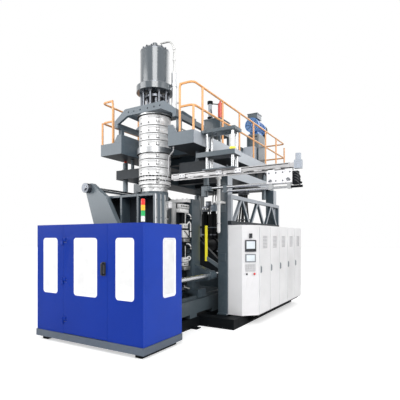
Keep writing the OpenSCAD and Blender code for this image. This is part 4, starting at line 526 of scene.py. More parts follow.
def window_panes(node):
    """Panes with a bright rim inset from their edge; panes and rim glow a little, which is painted light."""
    pane_area, rim = 0.1, 0.026
    bm = merged_copy(node)
    for face in bm.faces:
        face.material_index = 1
    wide = [f for f in bm.faces if f.calc_area() > pane_area]
    bmesh.ops.inset_individual(bm, faces=wide, thickness=rim, depth=0, use_even_offset=True)
    for face in wide:
        face.material_index = 0
    source = frame["nodes"][node]
    piece = finish_mesh(bm, node + "_shell", [pane_plastic, pane_rim], source["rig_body"])
    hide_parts(node)


def dress_cabinet():
    """Control cabinet with its five doors and the pieces on its slanted operator corner."""
    plate_x0, plate_x1, plate_y = 1.305, gear_plate_x, 1.1
    corner_y = 1.0
    door_face_x = 1.8455
    # The brighter white on the cabinet's front (-Y) panels is painted light.
    dressed("cabinet_shell", [white_paint, gear_plate, lit_front_white],
            lambda p, n: 1 if plate_x0 < p.x < plate_x1 and p.y > plate_y
            else 2 if n.y < -0.9 and p.y < corner_y else 0, plate_edge)
    for i in range(bays):
        dressed("cabinet_door_%d" % (i + 1), [white_paint, grey_plastic],
                lambda p, n: 1 if p.x > door_face_x else 0, sheet_edge)
    out = Vector((math.sqrt(0.5), -math.sqrt(0.5), 0))
    corner = Vector((1.6965, 0.9265, 0))
    sensor_z, upper_screen_z, lower_screen_z, keypad_z = 1.76, 1.49, 1.28, 1.09
    upper_glass, lower_glass, keypad_face = 0.0225, 0.0165, 0.0125

    def panel_rule(p, n):
        """Case, screen, frame, keypad, keys or collar, from a face's height and its stand off the corner."""
        stand = (p - corner).dot(out)
        if p.z > sensor_z:
            return 0
        if p.z > upper_screen_z:
            return 1 if n.dot(out) > 0.9 and stand < upper_glass else 0
        if p.z > lower_screen_z:
            return 1 if n.dot(out) > 0.9 and stand < lower_glass else 2
        if p.z > keypad_z:
            return 4 if stand > keypad_face else 3
        return 5

    dressed("operator_panels", [black_plastic, screen_glass, grey_plastic, pale_plastic, key_plastic, zinc],
            panel_rule, panel_edge)
    dressed("emergency_stop", [stop_red], bevel=sheet_edge)
    dressed("selector_switch", [black_plastic], bevel=sheet_edge)


def dress_robot():
    """Take-out robot: posts with their top plate, beam, carriage and gripper jaws."""
    top_plate_z, foot_plate_z = 3.6995, 3.0255
    motor_x, end_block_x = 2.85, 2.842
    cover_x, cover_y, cover_z = 2.3, -0.025, 2.69
    clip_x0, clip_x1, tip_x = 1.55, 1.63, 1.3
    dressed("robot_posts", [rod_steel, slate_paint], lambda p, n: 1 if p.z > top_plate_z else 0)
    dressed("robot_beam", [beam_metal, slate_paint, cover_paint],
            lambda p, n: 2 if p.x > motor_x else 1 if p.z > foot_plate_z else 0, sheet_edge)
    dressed("robot_carriage", [rod_steel, white_paint, black_paint, slate_paint],
            lambda p, n: 2 if p.x > end_block_x else 1 if p.z > cover_z and p.x > cover_x and p.y < cover_y
            else 3 if clip_x0 < p.x < clip_x1 or p.x < tip_x else 0, sheet_edge)
    for node in ("gripper_jaw_front", "gripper_jaw_rear"):
        dressed(node, [slate_paint], bevel=sheet_edge)


def dress_small():
    """Air pipe and light curtain; the curtain's stand and arms are grey."""
    arm_x, stand_z = 0.7, 1.28
    dressed("air_pipe", [pale_steel], bevel=sheet_edge)
    # The light curtain's yellow glows a little: painted light.
    dressed("light_curtain", [curtain_yellow, plate_paint],
            lambda p, n: 1 if p.x > arm_x or p.z < stand_z else 0)


dress_frames()
dress_clamp()
dress_head()
dress_drive()
dress_guard()
dress_cabinet()
dress_robot()
dress_small()


# Detailed pieces

def turn_new(bm, before, angle, axis="Z"):
    """Turns what was made since `before` round an axis through the origin."""
    turn = Matrix.Rotation(angle, 3, axis)
    bmesh.ops.rotate(bm, cent=(0, 0, 0), matrix=turn, verts=verts_since(bm, before))


def bolt(bm, at, axis, radius, height, index=0):
    """A hexagon head on a washer."""
    rod(bm, at, axis, radius * 1.35, height * 0.25, 16, 0, index)
    step = {"x": Vector((1, 0, 0)), "y": Vector((0, 1, 0)), "z": Vector((0, 0, 1))}[axis]
    rod(bm, Vector(at) + step * height * 0.24, axis, radius, height * 0.76, 6, radius * 0.1, index)


bands = [(2.828, 2.908), (2.914, 2.990), (2.997, 3.160), (3.167, 3.323), (3.330, 3.446),
         (3.556, 3.689), (3.696, 3.825), (3.832, 3.980), (3.987, 4.190)]
band_r = 0.325
band_in = 0.2955
band_gap = 0.004
tall_band = 0.12
clasp_angles = (-42, 138)
stud_angles = (-110, -75, 15, 105, 195)
lug_zs = (2.911, 2.9935)
lugs = 28


def head_bands():
    """Stainless covers with rolled rims, clasps and studs, and the black lugs in the two lowest gaps."""
    lip = 0.005
    rim_r, wall_r = band_r - 0.0015, band_r - lip
    bm = bmesh.new()
    for low, high in bands:
        z0, z1 = low + band_gap, high - band_gap
        turned(bm, [(band_in, z0), (wall_r, z0), (rim_r, z0 + lip), (rim_r, z0 + 3 * lip),
                    (wall_r, z0 + 4 * lip), (wall_r, z1 - 4 * lip), (rim_r, z1 - 3 * lip), (rim_r, z1 - lip),
                    (wall_r, z1), (band_in, z1)],
               (0, 0, 0), "z", 72)
        mid = (z0 + z1) / 2
        tall = (z1 - z0) * 0.62
        hook = tall * 0.3
        for angle in clasp_angles:
            before = set(bm.faces)
            block(bm, (band_r - 0.008, -0.028, mid - tall / 2),
                  (band_r + 0.008, 0.028, mid + tall / 2), 0.003)
            for z in (mid - hook, mid + hook):
                rod(bm, (band_r + 0.004, -0.034, z), "y", 0.007, 0.06, 10, 0, 2)
            block(bm, (band_r, -0.046, mid - hook), (band_r + 0.011, -0.034, mid + hook), 0.002, 1)
            turn_new(bm, before, math.radians(angle))
        if high - low > tall_band:
            for angle in stud_angles:
                before = set(bm.faces)
                rod(bm, (band_r - 0.008, 0, z0 + 0.045), "x", 0.011, 0.014, 10, 0, 2)
                rod(bm, (band_r - 0.008, 0, z1 - 0.045), "x", 0.008, 0.011, 10, 0, 1)
                turn_new(bm, before, math.radians(angle))
    for z in lug_zs:
        for k in range(lugs):
            before = set(bm.faces)
            block(bm, (band_in, -0.02, z - 0.013), (band_r + 0.003, 0.02, z + 0.013), 0.004, 2)
            turn_new(bm, before, 2 * math.pi * (k + 0.5) / lugs)
    piece = finish_mesh(bm, "head_heater_covers", [cover_steel, zinc, black_paint],
                        "extruder_platform")
    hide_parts("heater_bands")


post_ys = [-0.337, -0.010, 0.825, 1.660, 2.495, 3.330, 4.165, 4.912]
rail_x = 1.122
return_x = 0.829
rear_post_x = 0.374
mid_z = 4.190
top_z = 4.610
deck_z = 3.7303
tube_r = 0.021
cover_bolts = 16
bottle_xs = (-0.53, -0.27)
bottle_y = 3.0


def railing():
    """Handrail of bent tube with welded posts on bolted feet."""
    bend = 0.11
    front_y, rear_y = post_ys[0], post_ys[-1]
    bm = bmesh.new()
    for side in (-1, 1):
        for z in (mid_z, top_z):
            pipe_mesh(bm, [(side * return_x, front_y, z), (side * rail_x, front_y, z),
                           (side * rail_x, rear_y, z), (side * 0.05, rear_y, z)], tube_r, bend, 14)
        for y in post_ys[1:]:
            short = bend if y == rear_y else 0
            rod(bm, (side * rail_x, y, deck_z), "z", tube_r, top_z - deck_z - short, 14)
        rod(bm, (side * rear_post_x, rear_y, deck_z), "z", tube_r, top_z - deck_z, 14)
        rod(bm, (side * rail_x, front_y, deck_z), "z", tube_r, mid_z - deck_z, 14)
        pipe_mesh(bm, [(side * return_x, front_y, deck_z), (side * return_x, front_y, top_z),
                       (side * (return_x + 0.15), front_y, top_z)], tube_r, 0.09, 14)
        feet = [(side * rail_x, y) for y in post_ys]
        feet += [(side * return_x, front_y), (side * rear_post_x, rear_y)]
        for x, y in feet:
            rod(bm, (x, y, deck_z), "z", 0.0255, 0.008, 16, 0.002)
            rod(bm, (x, y, deck_z + 0.008), "z", 0.025, 0.02, 16, 0, 0, 0.0215)
    piece = finish_mesh(bm, "bent_tube_railing", [orange_paint], "extruder_platform")
    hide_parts("railing")


def cylinder_top_pipes():
    """Pressure pipe from the top cylinder to its valve column, level pipe, and the cover's bolts and rims."""
    port, column = (0.13, 0), (0.43, 0.06)
    bm = bmesh.new()
    pipe_mesh(bm, [(*port, 5.60), (*port, 5.69), (0.36, 0.03, 5.69), (*column, 5.56), (*column, 5.04)],
              0.016, 0.09, 12)
    for z in (5.06, 5.3, 5.52):
        rod(bm, (*column, z), "z", 0.026, 0.03, 6, 0.002)
    rod(bm, (*port, 5.645), "z", 0.03, 0.022, 6, 0.003)
    pipe_mesh(bm, [(0.485, 0.1, 4.46), (0.55, 0.1, 4.46), (0.55, 0.1, 3.95), (0.55, 0.55, 3.95)],
              0.014, 0.07, 12)
    finish_mesh(bm, "cylinder_pressure_pipes", [zinc], "extruder_platform")
    bm = bmesh.new()
    for k in range(cover_bolts):
        before = set(bm.faces)
        bolt(bm, (0.262, 0, 5.5675), "z", 0.014, 0.02)
        turn_new(bm, before, 2 * math.pi * k / cover_bolts)
    turned(bm, [(0.272, 5.52), (0.296, 5.52), (0.297, 5.527), (0.296, 5.534), (0.272, 5.534)],
           (0, 0, 0), "z", 64)
    turned(bm, [(0.272, 4.835), (0.297, 4.835), (0.299, 4.85), (0.297, 4.865), (0.272, 4.865)],
           (0, 0, 0), "z", 64)
    finish_mesh(bm, "cylinder_cover_bolts", [dark_steel], "extruder_platform")


def heater_conduit():
    """The pale conduit between the platform and the head's lower covers."""
    bm = bmesh.new()
    pipe_mesh(bm, [(0.66, -0.30, 3.49), (0.66, -0.30, 3.40), (0.52, -0.26, 3.33), (0.49, -0.22, 3.0),
                   (0.42, -0.18, 2.9), (0.33, -0.14, 2.87)], 0.009, 0.12, 10)
    rod(bm, (0.66, -0.30, 3.465), "z", 0.017, 0.025, 6, 0.002)
    finish_mesh(bm, "heater_cable_conduit", [pale_plastic], "extruder_platform")


def front_mould_manifolds():
    """Three water manifolds in a row up the right end of the front mould, with their bent pipes."""
    row_y, manifold_h = -0.30, 0.30
    bm = bmesh.new()
    for k in range(3):
        z0 = 0.86 + k * 0.40
        block(bm, (0.485, row_y - 0.03, z0), (0.535, row_y + 0.03, z0 + manifold_h), 0.004)
        for j in range(4):
            z = z0 + 0.04 + j * 0.073
            rod(bm, (0.535, row_y, z), "x", 0.013, 0.03, 6, 0.002)
            pipe_mesh(bm, [(0.56, row_y, z), (0.60, row_y, z), (0.60, row_y + 0.07, z - 0.03),
                           (0.42, row_y + 0.13, z - 0.03)], 0.009, 0.03, 8, 1)
            rod(bm, (0.385, row_y + 0.13, z - 0.03), "x", 0.014, 0.03, 6, 0.002)
    pipe_mesh(bm, [(0.51, row_y, 0.88), (0.51, row_y, 0.78), (0.56, row_y - 0.12, 0.74)], 0.018, 0.05, 12, 2)
    pipe_mesh(bm, [(0.51, row_y, 1.94), (0.51, row_y, 2.06), (0.45, row_y - 0.16, 2.10)], 0.018, 0.05, 12, 2)
    for z in (0.93, 1.33, 1.73):
        block(bm, (0.465, row_y - 0.05, z), (0.49, row_y + 0.05, z + 0.03), 0.003, 2)
    finish_mesh(bm, "front_mould_water_manifold", [pale_steel, rubber, zinc], "pull_frame")


def platen_strips():
    """Ground strips with bolts on the right edge of the front platen."""
    back_x, face_x = 0.6005, 0.6125
    bm = bmesh.new()
    for y, wide in ((-0.757, 0.05), (-0.622, 0.03), (-0.487, 0.045)):
        block(bm, (back_x, y - wide / 2, 0.76), (face_x, y + wide / 2, 2.565), 0.003)
        for k in range(6):
            bolt(bm, (face_x, y, 0.86 + k * 0.32), "x", 0.008, 0.008, 1)
    finish_mesh(bm, "platen_edge_strips", [machined, dark_steel], "pull_frame")


def mould_hose_post():
    """Post on the front mould's back plate with a junction box and its pipes."""
    gland_y = -0.275
    bm = bmesh.new()
    block(bm, (0.392, -0.456, 2.07), (0.478, -0.42, 2.085), 0.002)
    block(bm, (0.395, -0.452, 2.08), (0.402, -0.424, 2.53), 0.001)
    block(bm, (0.395, -0.452, 2.08), (0.475, -0.446, 2.53), 0.001)
    for k, finish in enumerate((1, 4, 1, 0)):
        x = 0.497 + k * 0.027 - 0.02
        pipe_mesh(bm, [(x, -0.38, 1.86), (x, -0.38, 2.40), (x, -0.334, 2.40)], 0.0105, 0.03, 10, finish)
    for z in (2.12, 2.30):
        block(bm, (0.402, -0.455, z), (0.595, -0.43, z + 0.02), 0.002, 2)
        block(bm, (0.488, -0.432, z), (0.592, -0.37, z + 0.02), 0.002, 2)
    block(bm, (0.462, -0.335, 2.34), (0.582, -0.215, 2.465), 0.01, 3)
    block(bm, (0.46, -0.337, 2.435), (0.584, -0.213, 2.441), 0.001, 2)
    block(bm, (0.475, -0.45, 2.36), (0.49, -0.33, 2.40), 0.002)
    for k in range(3):
        x = 0.487 + k * 0.035
        rod(bm, (x, gland_y, 2.325), "z", 0.011, 0.016, 6, 0.001, 2)
        pipe_mesh(bm, [(x, gland_y, 2.326), (x, gland_y, 2.2), (0.50, -0.34, 2.08), (0.50, -0.40, 1.95)],
                  0.008, 0.05, 10, 1)
    finish_mesh(bm, "front_mould_hose_post", [zinc, rubber, machined, white_paint, pale_steel],
                "pull_frame")


def rear_mould_pipes():
    """Manifolds, hose boxes and bent pipes on the right end of the rear mould."""
    end_x = 0.4805
    boxes = ((2.375, 2.455, 0.565, 0.08, 0.41, 0), (2.285, 2.36, 0.585, 0.05, 0.36, 0),
             (2.08, 2.27, 0.535, 0.18, 0.36, 1), (1.975, 2.065, 0.575, 0.17, 0.35, 0),
             (1.785, 1.935, 0.575, 0.17, 0.37, 0), (1.695, 1.765, 0.59, 0.17, 0.41, 2),
             (1.40, 1.675, 0.535, 0.18, 0.36, 1), (1.295, 1.385, 0.575, 0.18, 0.37, 0),
             (1.215, 1.28, 0.56, 0.18, 0.39, 0), (1.13, 1.20, 0.59, 0.18, 0.41, 2),
             (0.82, 1.06, 0.535, 0.20, 0.36, 1))
    hoses = ([(0.53, 0.35, 2.27), (0.575, 0.36, 2.265), (0.60, 0.40, 2.24), (0.603, 0.41, 2.16)],
             [(0.565, 0.33, 2.055), (0.60, 0.36, 2.11), (0.60, 0.402, 2.07), (0.60, 0.405, 1.80)],
             [(0.53, 0.35, 1.66), (0.575, 0.36, 1.655), (0.60, 0.40, 1.63), (0.603, 0.41, 1.55)],
             [(0.56, 0.34, 1.385), (0.59, 0.37, 1.405), (0.603, 0.41, 1.365), (0.58, 0.38, 1.32)])
    fitting = (0.602, 0.408)
    bm = bmesh.new()
    block(bm, (0.4803, 0.05, 0.80), (0.486, 0.412, 2.46), 0.001, 1)
    for z0, z1, face_x, y0, y1, finish in boxes:
        block(bm, (end_x, y0, z0), (face_x, y1, z1), 0.006, finish)
    for k in range(5):
        rod(bm, (0.565, 0.12 + k * 0.06, 2.415), "x", 0.017, 0.006, 20, 0.001, 1)
    for k in range(3):
        rod(bm, (0.56, 0.225 + k * 0.065, 1.248), "x", 0.018, 0.006, 20, 0.001, 1)
        rod(bm, (0.575, 0.215 + k * 0.055, 2.02), "x", 0.01, 0.008, 6, 0.001, 1)
        rod(bm, (0.575, 0.22 + k * 0.055, 1.34), "x", 0.01, 0.008, 6, 0.001, 1)
    pipe_mesh(bm, [(0.57, 0.19, 1.92), (0.60, 0.21, 1.90), (0.60, 0.32, 1.81), (0.57, 0.35, 1.80)],
              0.008, 0.03, 10, 1)
    for points in hoses:
        pipe_mesh(bm, points, 0.0135, 0.035, 12)
    for z, tall in ((2.158, 0.03), (1.79, 0.025), (1.545, 0.03)):
        rod(bm, (*fitting, z), "z", 0.017, tall, 6, 0.001, 2)
        pipe_mesh(bm, [(*fitting, z), (*fitting, z - 0.06), (0.57, 0.36, z - 0.09), (0.50, 0.33, z - 0.09)],
                  0.009, 0.03, 10, 1)
    for z in (2.06, 1.38):
        rod(bm, (0.555, 0.27, z), "z", 0.014, 0.235, 20, 0, 2)
    for z in (2.19, 1.90, 1.58):
        block(bm, (0.52, 0.385, z), (0.617, 0.425, z + 0.018), 0.002, 1)
        block(bm, (end_x, 0.39, z), (0.525, 0.412, z + 0.018), 0.002, 1)
    pipe_mesh(bm, [(0.51, 0.30, 0.83), (0.51, 0.30, 0.78), (0.56, 0.42, 0.74)], 0.018, 0.05, 12, 2)
    finish_mesh(bm, "rear_mould_pipes", [pale_steel, black_paint, zinc], "rear_clamp")


def bottles():
    """Valve block on the oil tank's lid with two bottles and their clamp strip."""
    profile = [(0, 1.15), (0.098, 1.15), (0.105, 1.157), (0.105, 2.425), (0.098, 2.445), (0.075, 2.452),
               (0.075, 2.509), (0.035, 2.512), (0.035, 2.622), (0.031, 2.628), (0, 2.628)]
    bm = bmesh.new()
    block(bm, (-0.66, 2.86, 0.7523), (-0.14, 3.14, 1.15), 0.01)
    block(bm, (-0.66, 2.92, 2.05), (-0.14, 3.08, 2.11), 0.006, 1)
    for x in bottle_xs:
        turned(bm, profile, (x, bottle_y, 0), "z", 64, 1)
    finish_mesh(bm, "hydraulic_bottles", [slate_paint, black_paint], "machine_frame")


def bottle_valves():
    """Pilot valve, handwheel, straps and steel pipes on the two bottles, and the solenoids on their block."""
    gauge_z, solenoid_y = 2.585, 2.815
    bm = bmesh.new()
    block(bm, (-0.315, 2.945, 2.515), (-0.165, 3.055, 2.70), 0.012)
    block(bm, (-0.345, 2.965, 2.56), (-0.314, 3.035, 2.64), 0.006, 1)
    turned(bm, [(0, 2.70), (0.03, 2.70), (0.036, 2.704), (0.036, 2.73), (0.02, 2.736), (0.02, 2.76),
                (0, 2.76)], (-0.24, bottle_y, 0), "z", 32, 1)
    for x in (-0.285, -0.2):
        pipe_mesh(bm, [(x, 2.99, 2.69), (x, 2.99, 2.92), (x + 0.02, 3.05, 3.064)], 0.017, 0.08, 14, 2)
    block(bm, (-0.60, 2.94, 2.512), (-0.375, 3.06, 2.66), 0.01, 1)
    block(bm, (-0.50, 2.96, 2.655), (-0.346, 3.04, 2.80), 0.01, 1)
    for x in (-0.56, -0.47, -0.40):
        rod(bm, (x, 2.94, gauge_z), "y", 0.028, -0.025, 24, 0.003, 1)
        rod(bm, (x, 2.915, gauge_z), "y", 0.022, -0.002, 24, 0, 2)
    for x, y, foot_z, bend_z in ((-0.40, 3.0, 1.14, 2.515), (-0.145, 3.02, 0.751, 2.3),
                                 (-0.10, 3.02, 0.751, 2.42), (-0.055, 3.02, 0.751, 2.2)):
        pipe_mesh(bm, [(x, y, foot_z), (x, y, bend_z), (x - 0.06, 3.01, bend_z + 0.05)], 0.021, 0.05, 12, 3)
    for z in (1.4, 2.08):
        block(bm, (-0.17, 2.975, z), (-0.03, 3.045, z + 0.03), 0.003, 1)
    strap = [(0.103, 0), (0.109, 0.003), (0.109, 0.037), (0.103, 0.04)]
    for x in bottle_xs:
        for z in (1.5, 1.85):
            turned(bm, strap, (x, bottle_y, z), "z", 48, 1)
    for k in range(4):
        x = -0.6 + k * 0.13
        block(bm, (x, solenoid_y, 0.86), (x + 0.09, 2.862, 1.06), 0.006, 1)
        rod(bm, (x + 0.045, solenoid_y, 0.96), "y", 0.026, -0.07, 24, 0.003, 1)
    finish_mesh(bm, "hydraulic_bottle_valves", [valve_blue, dark_steel, zinc, rubber],
                "machine_frame")


def supply_pipes():
    """Black pipes that fan out from a block under the top frame down to the pump and the tank."""
    tank_z, pump_z = 0.752, 0.55
    foot_y = 2.81
    feet = ((0.24, tank_z), (0.14, tank_z), (0.56, pump_z), (0.62, pump_z), (0.68, pump_z), (0.2, tank_z))
    bm = bmesh.new()
    block(bm, (0.52, 2.9, 2.93), (0.76, 3.1, 3.063), 0.008, 1)
    for k, (foot_x, foot_z) in enumerate(feet):
        top_x = 0.545 + 0.038 * k
        mid_x = 0.46 + 0.065 * k
        y = 2.92 + 0.03 * (k % 3)
        pipe_mesh(bm, [(top_x, y, 2.94), (top_x, y, 2.66), (mid_x, y, 2.2), (mid_x, y, 1.2),
                       (foot_x, foot_y, foot_z + 0.25), (foot_x, foot_y, foot_z - 0.002)], 0.024, 0.12, 12)
        rod(bm, (top_x, y, 2.905), "z", 0.034, 0.026, 6, 0.002, 1)
    for z in (2.24, 1.7, 1.24):
        block(bm, (0.43, 2.885, z), (0.82, 3.01, z + 0.03), 0.004, 1)
    finish_mesh(bm, "hydraulic_supply_pipes", [rubber, dark_steel], "machine_frame")


def door_gear():
    """Breakers, contactors, terminal rows, ducts and a drive on the cabinet's mounting plates."""
    rail_face, duct_face = 1.326, 1.368
    rows = ((1.72, 9), (1.42, 5), (1.10, 7), (0.78, 4))
    for i in range(bays):
        bm = bmesh.new()
        y0 = bay_y + i * bay_pitch
        for row, (z, count) in enumerate(rows):
            block(bm, (gear_plate_x, y0 + 0.08, z - 0.018), (rail_face, y0 + 0.535, z + 0.018), 0.001, 1)
            pitch = 0.43 / count
            tall = 0.045 + 0.02 * (count < 6)
            for k in range(count):
                y = y0 + 0.095 + k * pitch
                deep = 0.06 + 0.03 * ((k + row + i) % 3)
                face = rail_face + deep
                tone = 0 if (k + i) % 3 else 2
                block(bm, (rail_face, y + 0.003, z - tall), (face, y + pitch - 0.003, z + tall), 0.003, tone)
                block(bm, (face - 0.001, y + pitch * 0.3, z - 0.012),
                      (face + 0.006, y + pitch * 0.7, z + 0.012), 0.002, 3 if k % 2 else 0)
        for z in (1.86, 1.57, 1.26, 0.94, 0.62):
            block(bm, (gear_plate_x, y0 + 0.07, z - 0.025), (duct_face, y0 + 0.545, z + 0.025), 0.003, 4)
        for y in (y0 + 0.045, y0 + 0.565):
            block(bm, (gear_plate_x, y - 0.02, 0.56), (duct_face, y + 0.02, 1.90), 0.003, 4)
        block(bm, (gear_plate_x, y0 + 0.12, 0.34), (1.46, y0 + 0.48, 0.54), 0.006, 2)
        finish_mesh(bm, "cabinet_gear_%d" % (i + 1),
                    [black_plastic, zinc, grey_plastic, pale_plastic, key_plastic],
                    "machine_frame")


def vent_filters():
    """Grey filter mats behind the vent slots of the cabinet doors."""
    for i in range(bays):
        y = bay_y + i * bay_pitch + 0.3
        bm = bmesh.new()
        block(bm, (1.8275, y - 0.15, 1.557), (1.8335, y + 0.15, 1.832), 0.001)
        finish_mesh(bm, "vent_filter_%d" % (i + 1), [vent_grey], "cabinet_leaf_%d" % (i + 1))


def robot_fittings():
    """Brackets and slot covers on the beam, a scraper ring round a post, bolts and pipes on the carriage."""
    beam_face_y = -0.0195
    bm = bmesh.new()
    for x in (0.62, 1.42, 1.80):
        block(bm, (x, -0.045, 2.935), (x + 0.12, -0.019, 3.015), 0.004)
        for dx in (0.025, 0.095):
            bolt(bm, (x + dx, -0.046, 2.975), "y", 0.009, 0.012, 1)
    finish_mesh(bm, "beam_brackets", [white_paint, dark_steel], "robot_lift")
    bm = bmesh.new()
    for k in range(7):
        x = 0.60 + k * 0.34
        block(bm, (x, -0.026, 2.928), (x + 0.2, beam_face_y, 2.941), 0.002)
    block(bm, (0.46, -0.0245, 3.0), (2.76, beam_face_y, 3.012), 0.001)
    finish_mesh(bm, "beam_slot_covers", [black_paint], "robot_lift")
    bm = bmesh.new()
    turned(bm, [(0.034, 0), (0.056, 0), (0.056, 0.032), (0.05, 0.04), (0.034, 0.04)],
           (1.77, -0.06, 3.3546), "z", 32)
    # The scraper ring's yellow glows a little: painted light.
    finish_mesh(bm, "post_scraper_ring", [curtain_yellow], "machine_frame")
    left_x = 2.400
    right_x = left_x + 0.438
    bm = bmesh.new()
    for x in (left_x + 0.04, left_x + 0.16, right_x - 0.16, right_x - 0.04):
        for z in (2.73, 2.865):
            rod(bm, (x, -0.0535, z), "y", 0.013, 0.006, 16, 0.001)
    for x, z, r in ((left_x + 0.07, 2.735, 0.022), (right_x - 0.07, 2.745, 0.026)):
        turned(bm, [(r * 0.45, 0), (r, 0), (r, 0.007), (r * 0.8, 0.01), (r * 0.45, 0.01)],
               (x, -0.0605, z), "y", 24)
    for k in range(4):
        z = 2.86 - k * 0.045
        pipe_mesh(bm, [(right_x - 0.01, -0.02, z), (right_x + 0.06, -0.045, z),
                       (right_x + 0.115, -0.045, z - 0.06), (right_x + 0.115, 0.02, z - 0.10),
                       (right_x + 0.05, 0.03, z - 0.10)], 0.011, 0.04, 10, 1)
    finish_mesh(bm, "carriage_bolts_and_pipes", [dark_steel, black_plastic], "carriage")


def frame_bolts():
    """Clamps of the air pipe, and bolts on the top frame's ends and on the clamp bed."""
    bm = bmesh.new()
    for z in (2.06, 2.45, 2.84):
        turned(bm, [(0.0355, z), (0.046, z), (0.047, z + 0.012), (0.046, z + 0.024), (0.0355, z + 0.024)],
               (1.146, 0.6, 0), "z", 32)
        bolt(bm, (1.146, 0.552, z + 0.012), "y", 0.006, 0.01, 1)
    for side in (-1, 1):
        for y in (0.84, 0.98, 3.64, 3.78):
            for x in (1.06, 1.216):
                bolt(bm, (side * x, y, 3.264), "z", 0.015, 0.018, 1)
        for y in (-1.4, -0.6, 0.2):
            for x in (0.605, 0.755):
                bolt(bm, (side * x, y, 0.54), "z", 0.013, 0.016, 1)
    finish_mesh(bm, "frame_bolts", [machined, dark_steel], "machine_frame")


def hinge_screws():
    """Four screws at each of the guard door's three hinges."""
    hinge_x, face_y = -0.518, -1.8415
    bm = bmesh.new()
    for z in (0.4, 1.06, 1.72):
        for dx in (0.035, 0.075):
            for dz in (0.02, -0.02):
                rod(bm, (hinge_x + dx, face_y, z + dz), "y", 0.006, 0.003, 12, 0.0005)
    finish_mesh(bm, "hinge_screws", [dark_steel], "guard_door")


def platform_pipes():
    """Cable tray and four steel pipes under the platform."""
    tray_y0, tray_y1 = 0.95, 4.0
    pipe_z = 3.66
    bm = bmesh.new()
    block(bm, (0.302, 0.952, 3.6205), (0.498, 3.998, 3.628), 0.001)
    for x in (0.30, 0.496):
        block(bm, (x, tray_y0, 3.62), (x + 0.004, tray_y1, 3.66), 0.001)
    for k in range(4):
        x = -0.42 + 0.06 * k
        pipe_mesh(bm, [(x, 1.0, pipe_z), (x, 3.9, pipe_z), (x, 4.05, 3.60)], 0.014, 0.08, 10, 1)
    finish_mesh(bm, "platform_cable_tray", [zinc, dark_steel], "extruder_platform")


def drive_trim():
    """Grille on the motor's cowl, and bolts, gauges and pipes on the servo hydraulic box."""
    cowl_x, cowl_y, cowl_z = 0.42, 4.058, 5.08
    spokes = 8
    bm = bmesh.new()
    for r in (0.05, 0.085, 0.12, 0.155, 0.185):
        turned(bm, [(r - 0.003, 0), (r + 0.003, 0), (r + 0.003, 0.005), (r - 0.003, 0.005)],
               (cowl_x, cowl_y - 0.004, cowl_z), "y", 40)
    for k in range(spokes):
        before = set(bm.faces)
        block(bm, (-0.19, -0.003, -0.004), (-0.02, 0.001, 0.004), 0.001)
        turn_new(bm, before, 2 * math.pi * k / spokes, "Y")
        bmesh.ops.translate(bm, vec=(cowl_x, cowl_y, cowl_z), verts=verts_since(bm, before))
    finish_mesh(bm, "motor_cowl_grille", [black_paint], "extruder_platform")
    lid_z, side_x = 4.541, 0.7105
    bm = bmesh.new()
    for x, y in ((0.34, 1.53), (0.66, 1.53), (0.34, 1.97), (0.66, 1.97)):
        bolt(bm, (x, y, lid_z), "z", 0.012, 0.016)
    for z in (4.28, 4.40):
        rod(bm, (side_x, 1.62, z), "x", 0.022, 0.012, 24, 0.002, 1)
        rod(bm, (side_x + 0.012, 1.62, z), "x", 0.018, 0.002, 24, 0, 2)
    pipe_mesh(bm, [(0.37, 1.65, 4.95), (0.37, 1.74, 4.98), (0.50, 1.80, 4.96), (0.56, 1.80, 4.98)],
              0.012, 0.05, 10, 1)
    pipe_mesh(bm, [(0.44, 1.60, 4.54), (0.44, 1.60, 4.72), (0.39, 1.63, 4.82)], 0.012, 0.05, 10, 1)
    finish_mesh(bm, "servo_unit_fittings", [dark_steel, black_plastic, pale_plastic],
                "extruder_platform")


front_mould_manifolds()
platen_strips()
mould_hose_post()
rear_mould_pipes()
bottles()
bottle_valves()
supply_pipes()
door_gear()
vent_filters()
robot_fittings()
frame_bolts()
hinge_screws()
platform_pipes()
drive_trim()
head_bands()
railing()
cylinder_top_pipes()
heater_conduit()


# Stage, light and camera

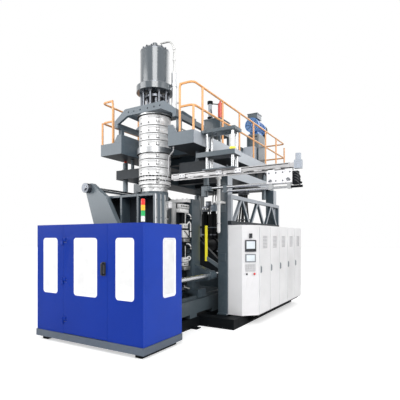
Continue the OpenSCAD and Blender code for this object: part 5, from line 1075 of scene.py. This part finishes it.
def stage():
    """A pale floor, and a world that is white to the camera and mirrors and plain light on the object."""
    floor_half = 60
    object_light = 0.42
    fade_range = (("From Min", 7.0), ("From Max", 18.0), ("To Min", 0.5), ("To Max", 0.85))
    bm = bmesh.new()
    bmesh.ops.create_grid(bm, x_segments=1, y_segments=1, size=floor_half)
    mesh = bpy.data.meshes.new("floor")
    bm.to_mesh(mesh)
    bm.free()
    floor = bpy.data.objects.new("floor", mesh)
    bpy.context.scene.collection.objects.link(floor)
    mat, nodes, links, bsdf = shader("floor_pale")
    bsdf.inputs["Base Color"].default_value = (0.86, 0.86, 0.86, 1)
    bsdf.inputs["Roughness"].default_value = 0.7
    bsdf.inputs["Specular IOR Level"].default_value = 0.2
    glow = nodes.new("ShaderNodeEmission")
    path = nodes.new("ShaderNodeLightPath")
    add = nodes.new("ShaderNodeAddShader")
    coords = nodes.new("ShaderNodeTexCoord")
    reach = nodes.new("ShaderNodeVectorMath")
    reach.operation = "LENGTH"
    links.new(coords.outputs["Object"], reach.inputs[0])
    fade = nodes.new("ShaderNodeMapRange")
    fade.interpolation_type = "SMOOTHSTEP"
    for socket, value in fade_range:
        fade.inputs[socket].default_value = value
    links.new(reach.outputs["Value"], fade.inputs["Value"])
    seen = nodes.new("ShaderNodeMath")
    seen.operation = "MULTIPLY"
    links.new(path.outputs["Is Camera Ray"], seen.inputs[0])
    links.new(fade.outputs["Result"], seen.inputs[1])
    links.new(seen.outputs["Value"], glow.inputs["Strength"])
    links.new(bsdf.outputs["BSDF"], add.inputs[0])
    links.new(glow.outputs["Emission"], add.inputs[1])
    links.new(add.outputs["Shader"], nodes["Material Output"].inputs["Surface"])
    mesh.materials.append(mat)

    world = bpy.data.worlds.new("studio")
    bpy.context.scene.world = world
    world.use_nodes = True
    nodes, links = world.node_tree.nodes, world.node_tree.links
    back = nodes["Background"]
    back.inputs["Color"].default_value = (1, 1, 1, 1)
    path = nodes.new("ShaderNodeLightPath")
    seen = nodes.new("ShaderNodeMath")
    seen.operation = "MAXIMUM"
    links.new(path.outputs["Is Camera Ray"], seen.inputs[0])
    links.new(path.outputs["Is Glossy Ray"], seen.inputs[1])
    links.new(spread(nodes, links, seen.outputs["Value"], object_light, 1.0), back.inputs["Strength"])


def area_lamp(name, place, aim, size, power):
    """A soft rectangular lamp that looks at a point."""
    data = bpy.data.lights.new(name, "AREA")
    data.shape = "RECTANGLE"
    data.size, data.size_y = size
    data.energy = power
    lamp = bpy.data.objects.new(name, data)
    lamp.location = place
    lamp.rotation_euler = (Vector(aim) - Vector(place)).to_track_quat("-Z", "Y").to_euler()
    bpy.context.scene.collection.objects.link(lamp)


def camera():
    """The photograph's camera, level and shifted, fitted to the machine's straight edges."""
    data = bpy.data.cameras.new("view")
    data.lens = 33.39
    data.sensor_width = 36
    data.shift_y = 0.0958
    data.clip_end = 200
    view = bpy.data.objects.new("view", data)
    view.location = (4.612, -6.037, 1.770)
    view.rotation_euler = (math.pi / 2, 0, math.radians(30.46))
    bpy.context.scene.collection.objects.link(view)
    bpy.context.scene.camera = view


stage()
area_lamp("key", (6, -8, 9), (0, 0.5, 2.4), (6, 6), 700)
area_lamp("fill", (-7, -8, 6), (0, 0, 2.5), (7, 7), 520)
area_lamp("back", (2, 10, 9), (0, 2, 3), (8, 8), 200)
area_lamp("right", (12, 0, 6.5), (1.5, 1.5, 2.2), (6, 5), 370)
camera()
bpy.context.scene.view_settings.view_transform = "Standard"
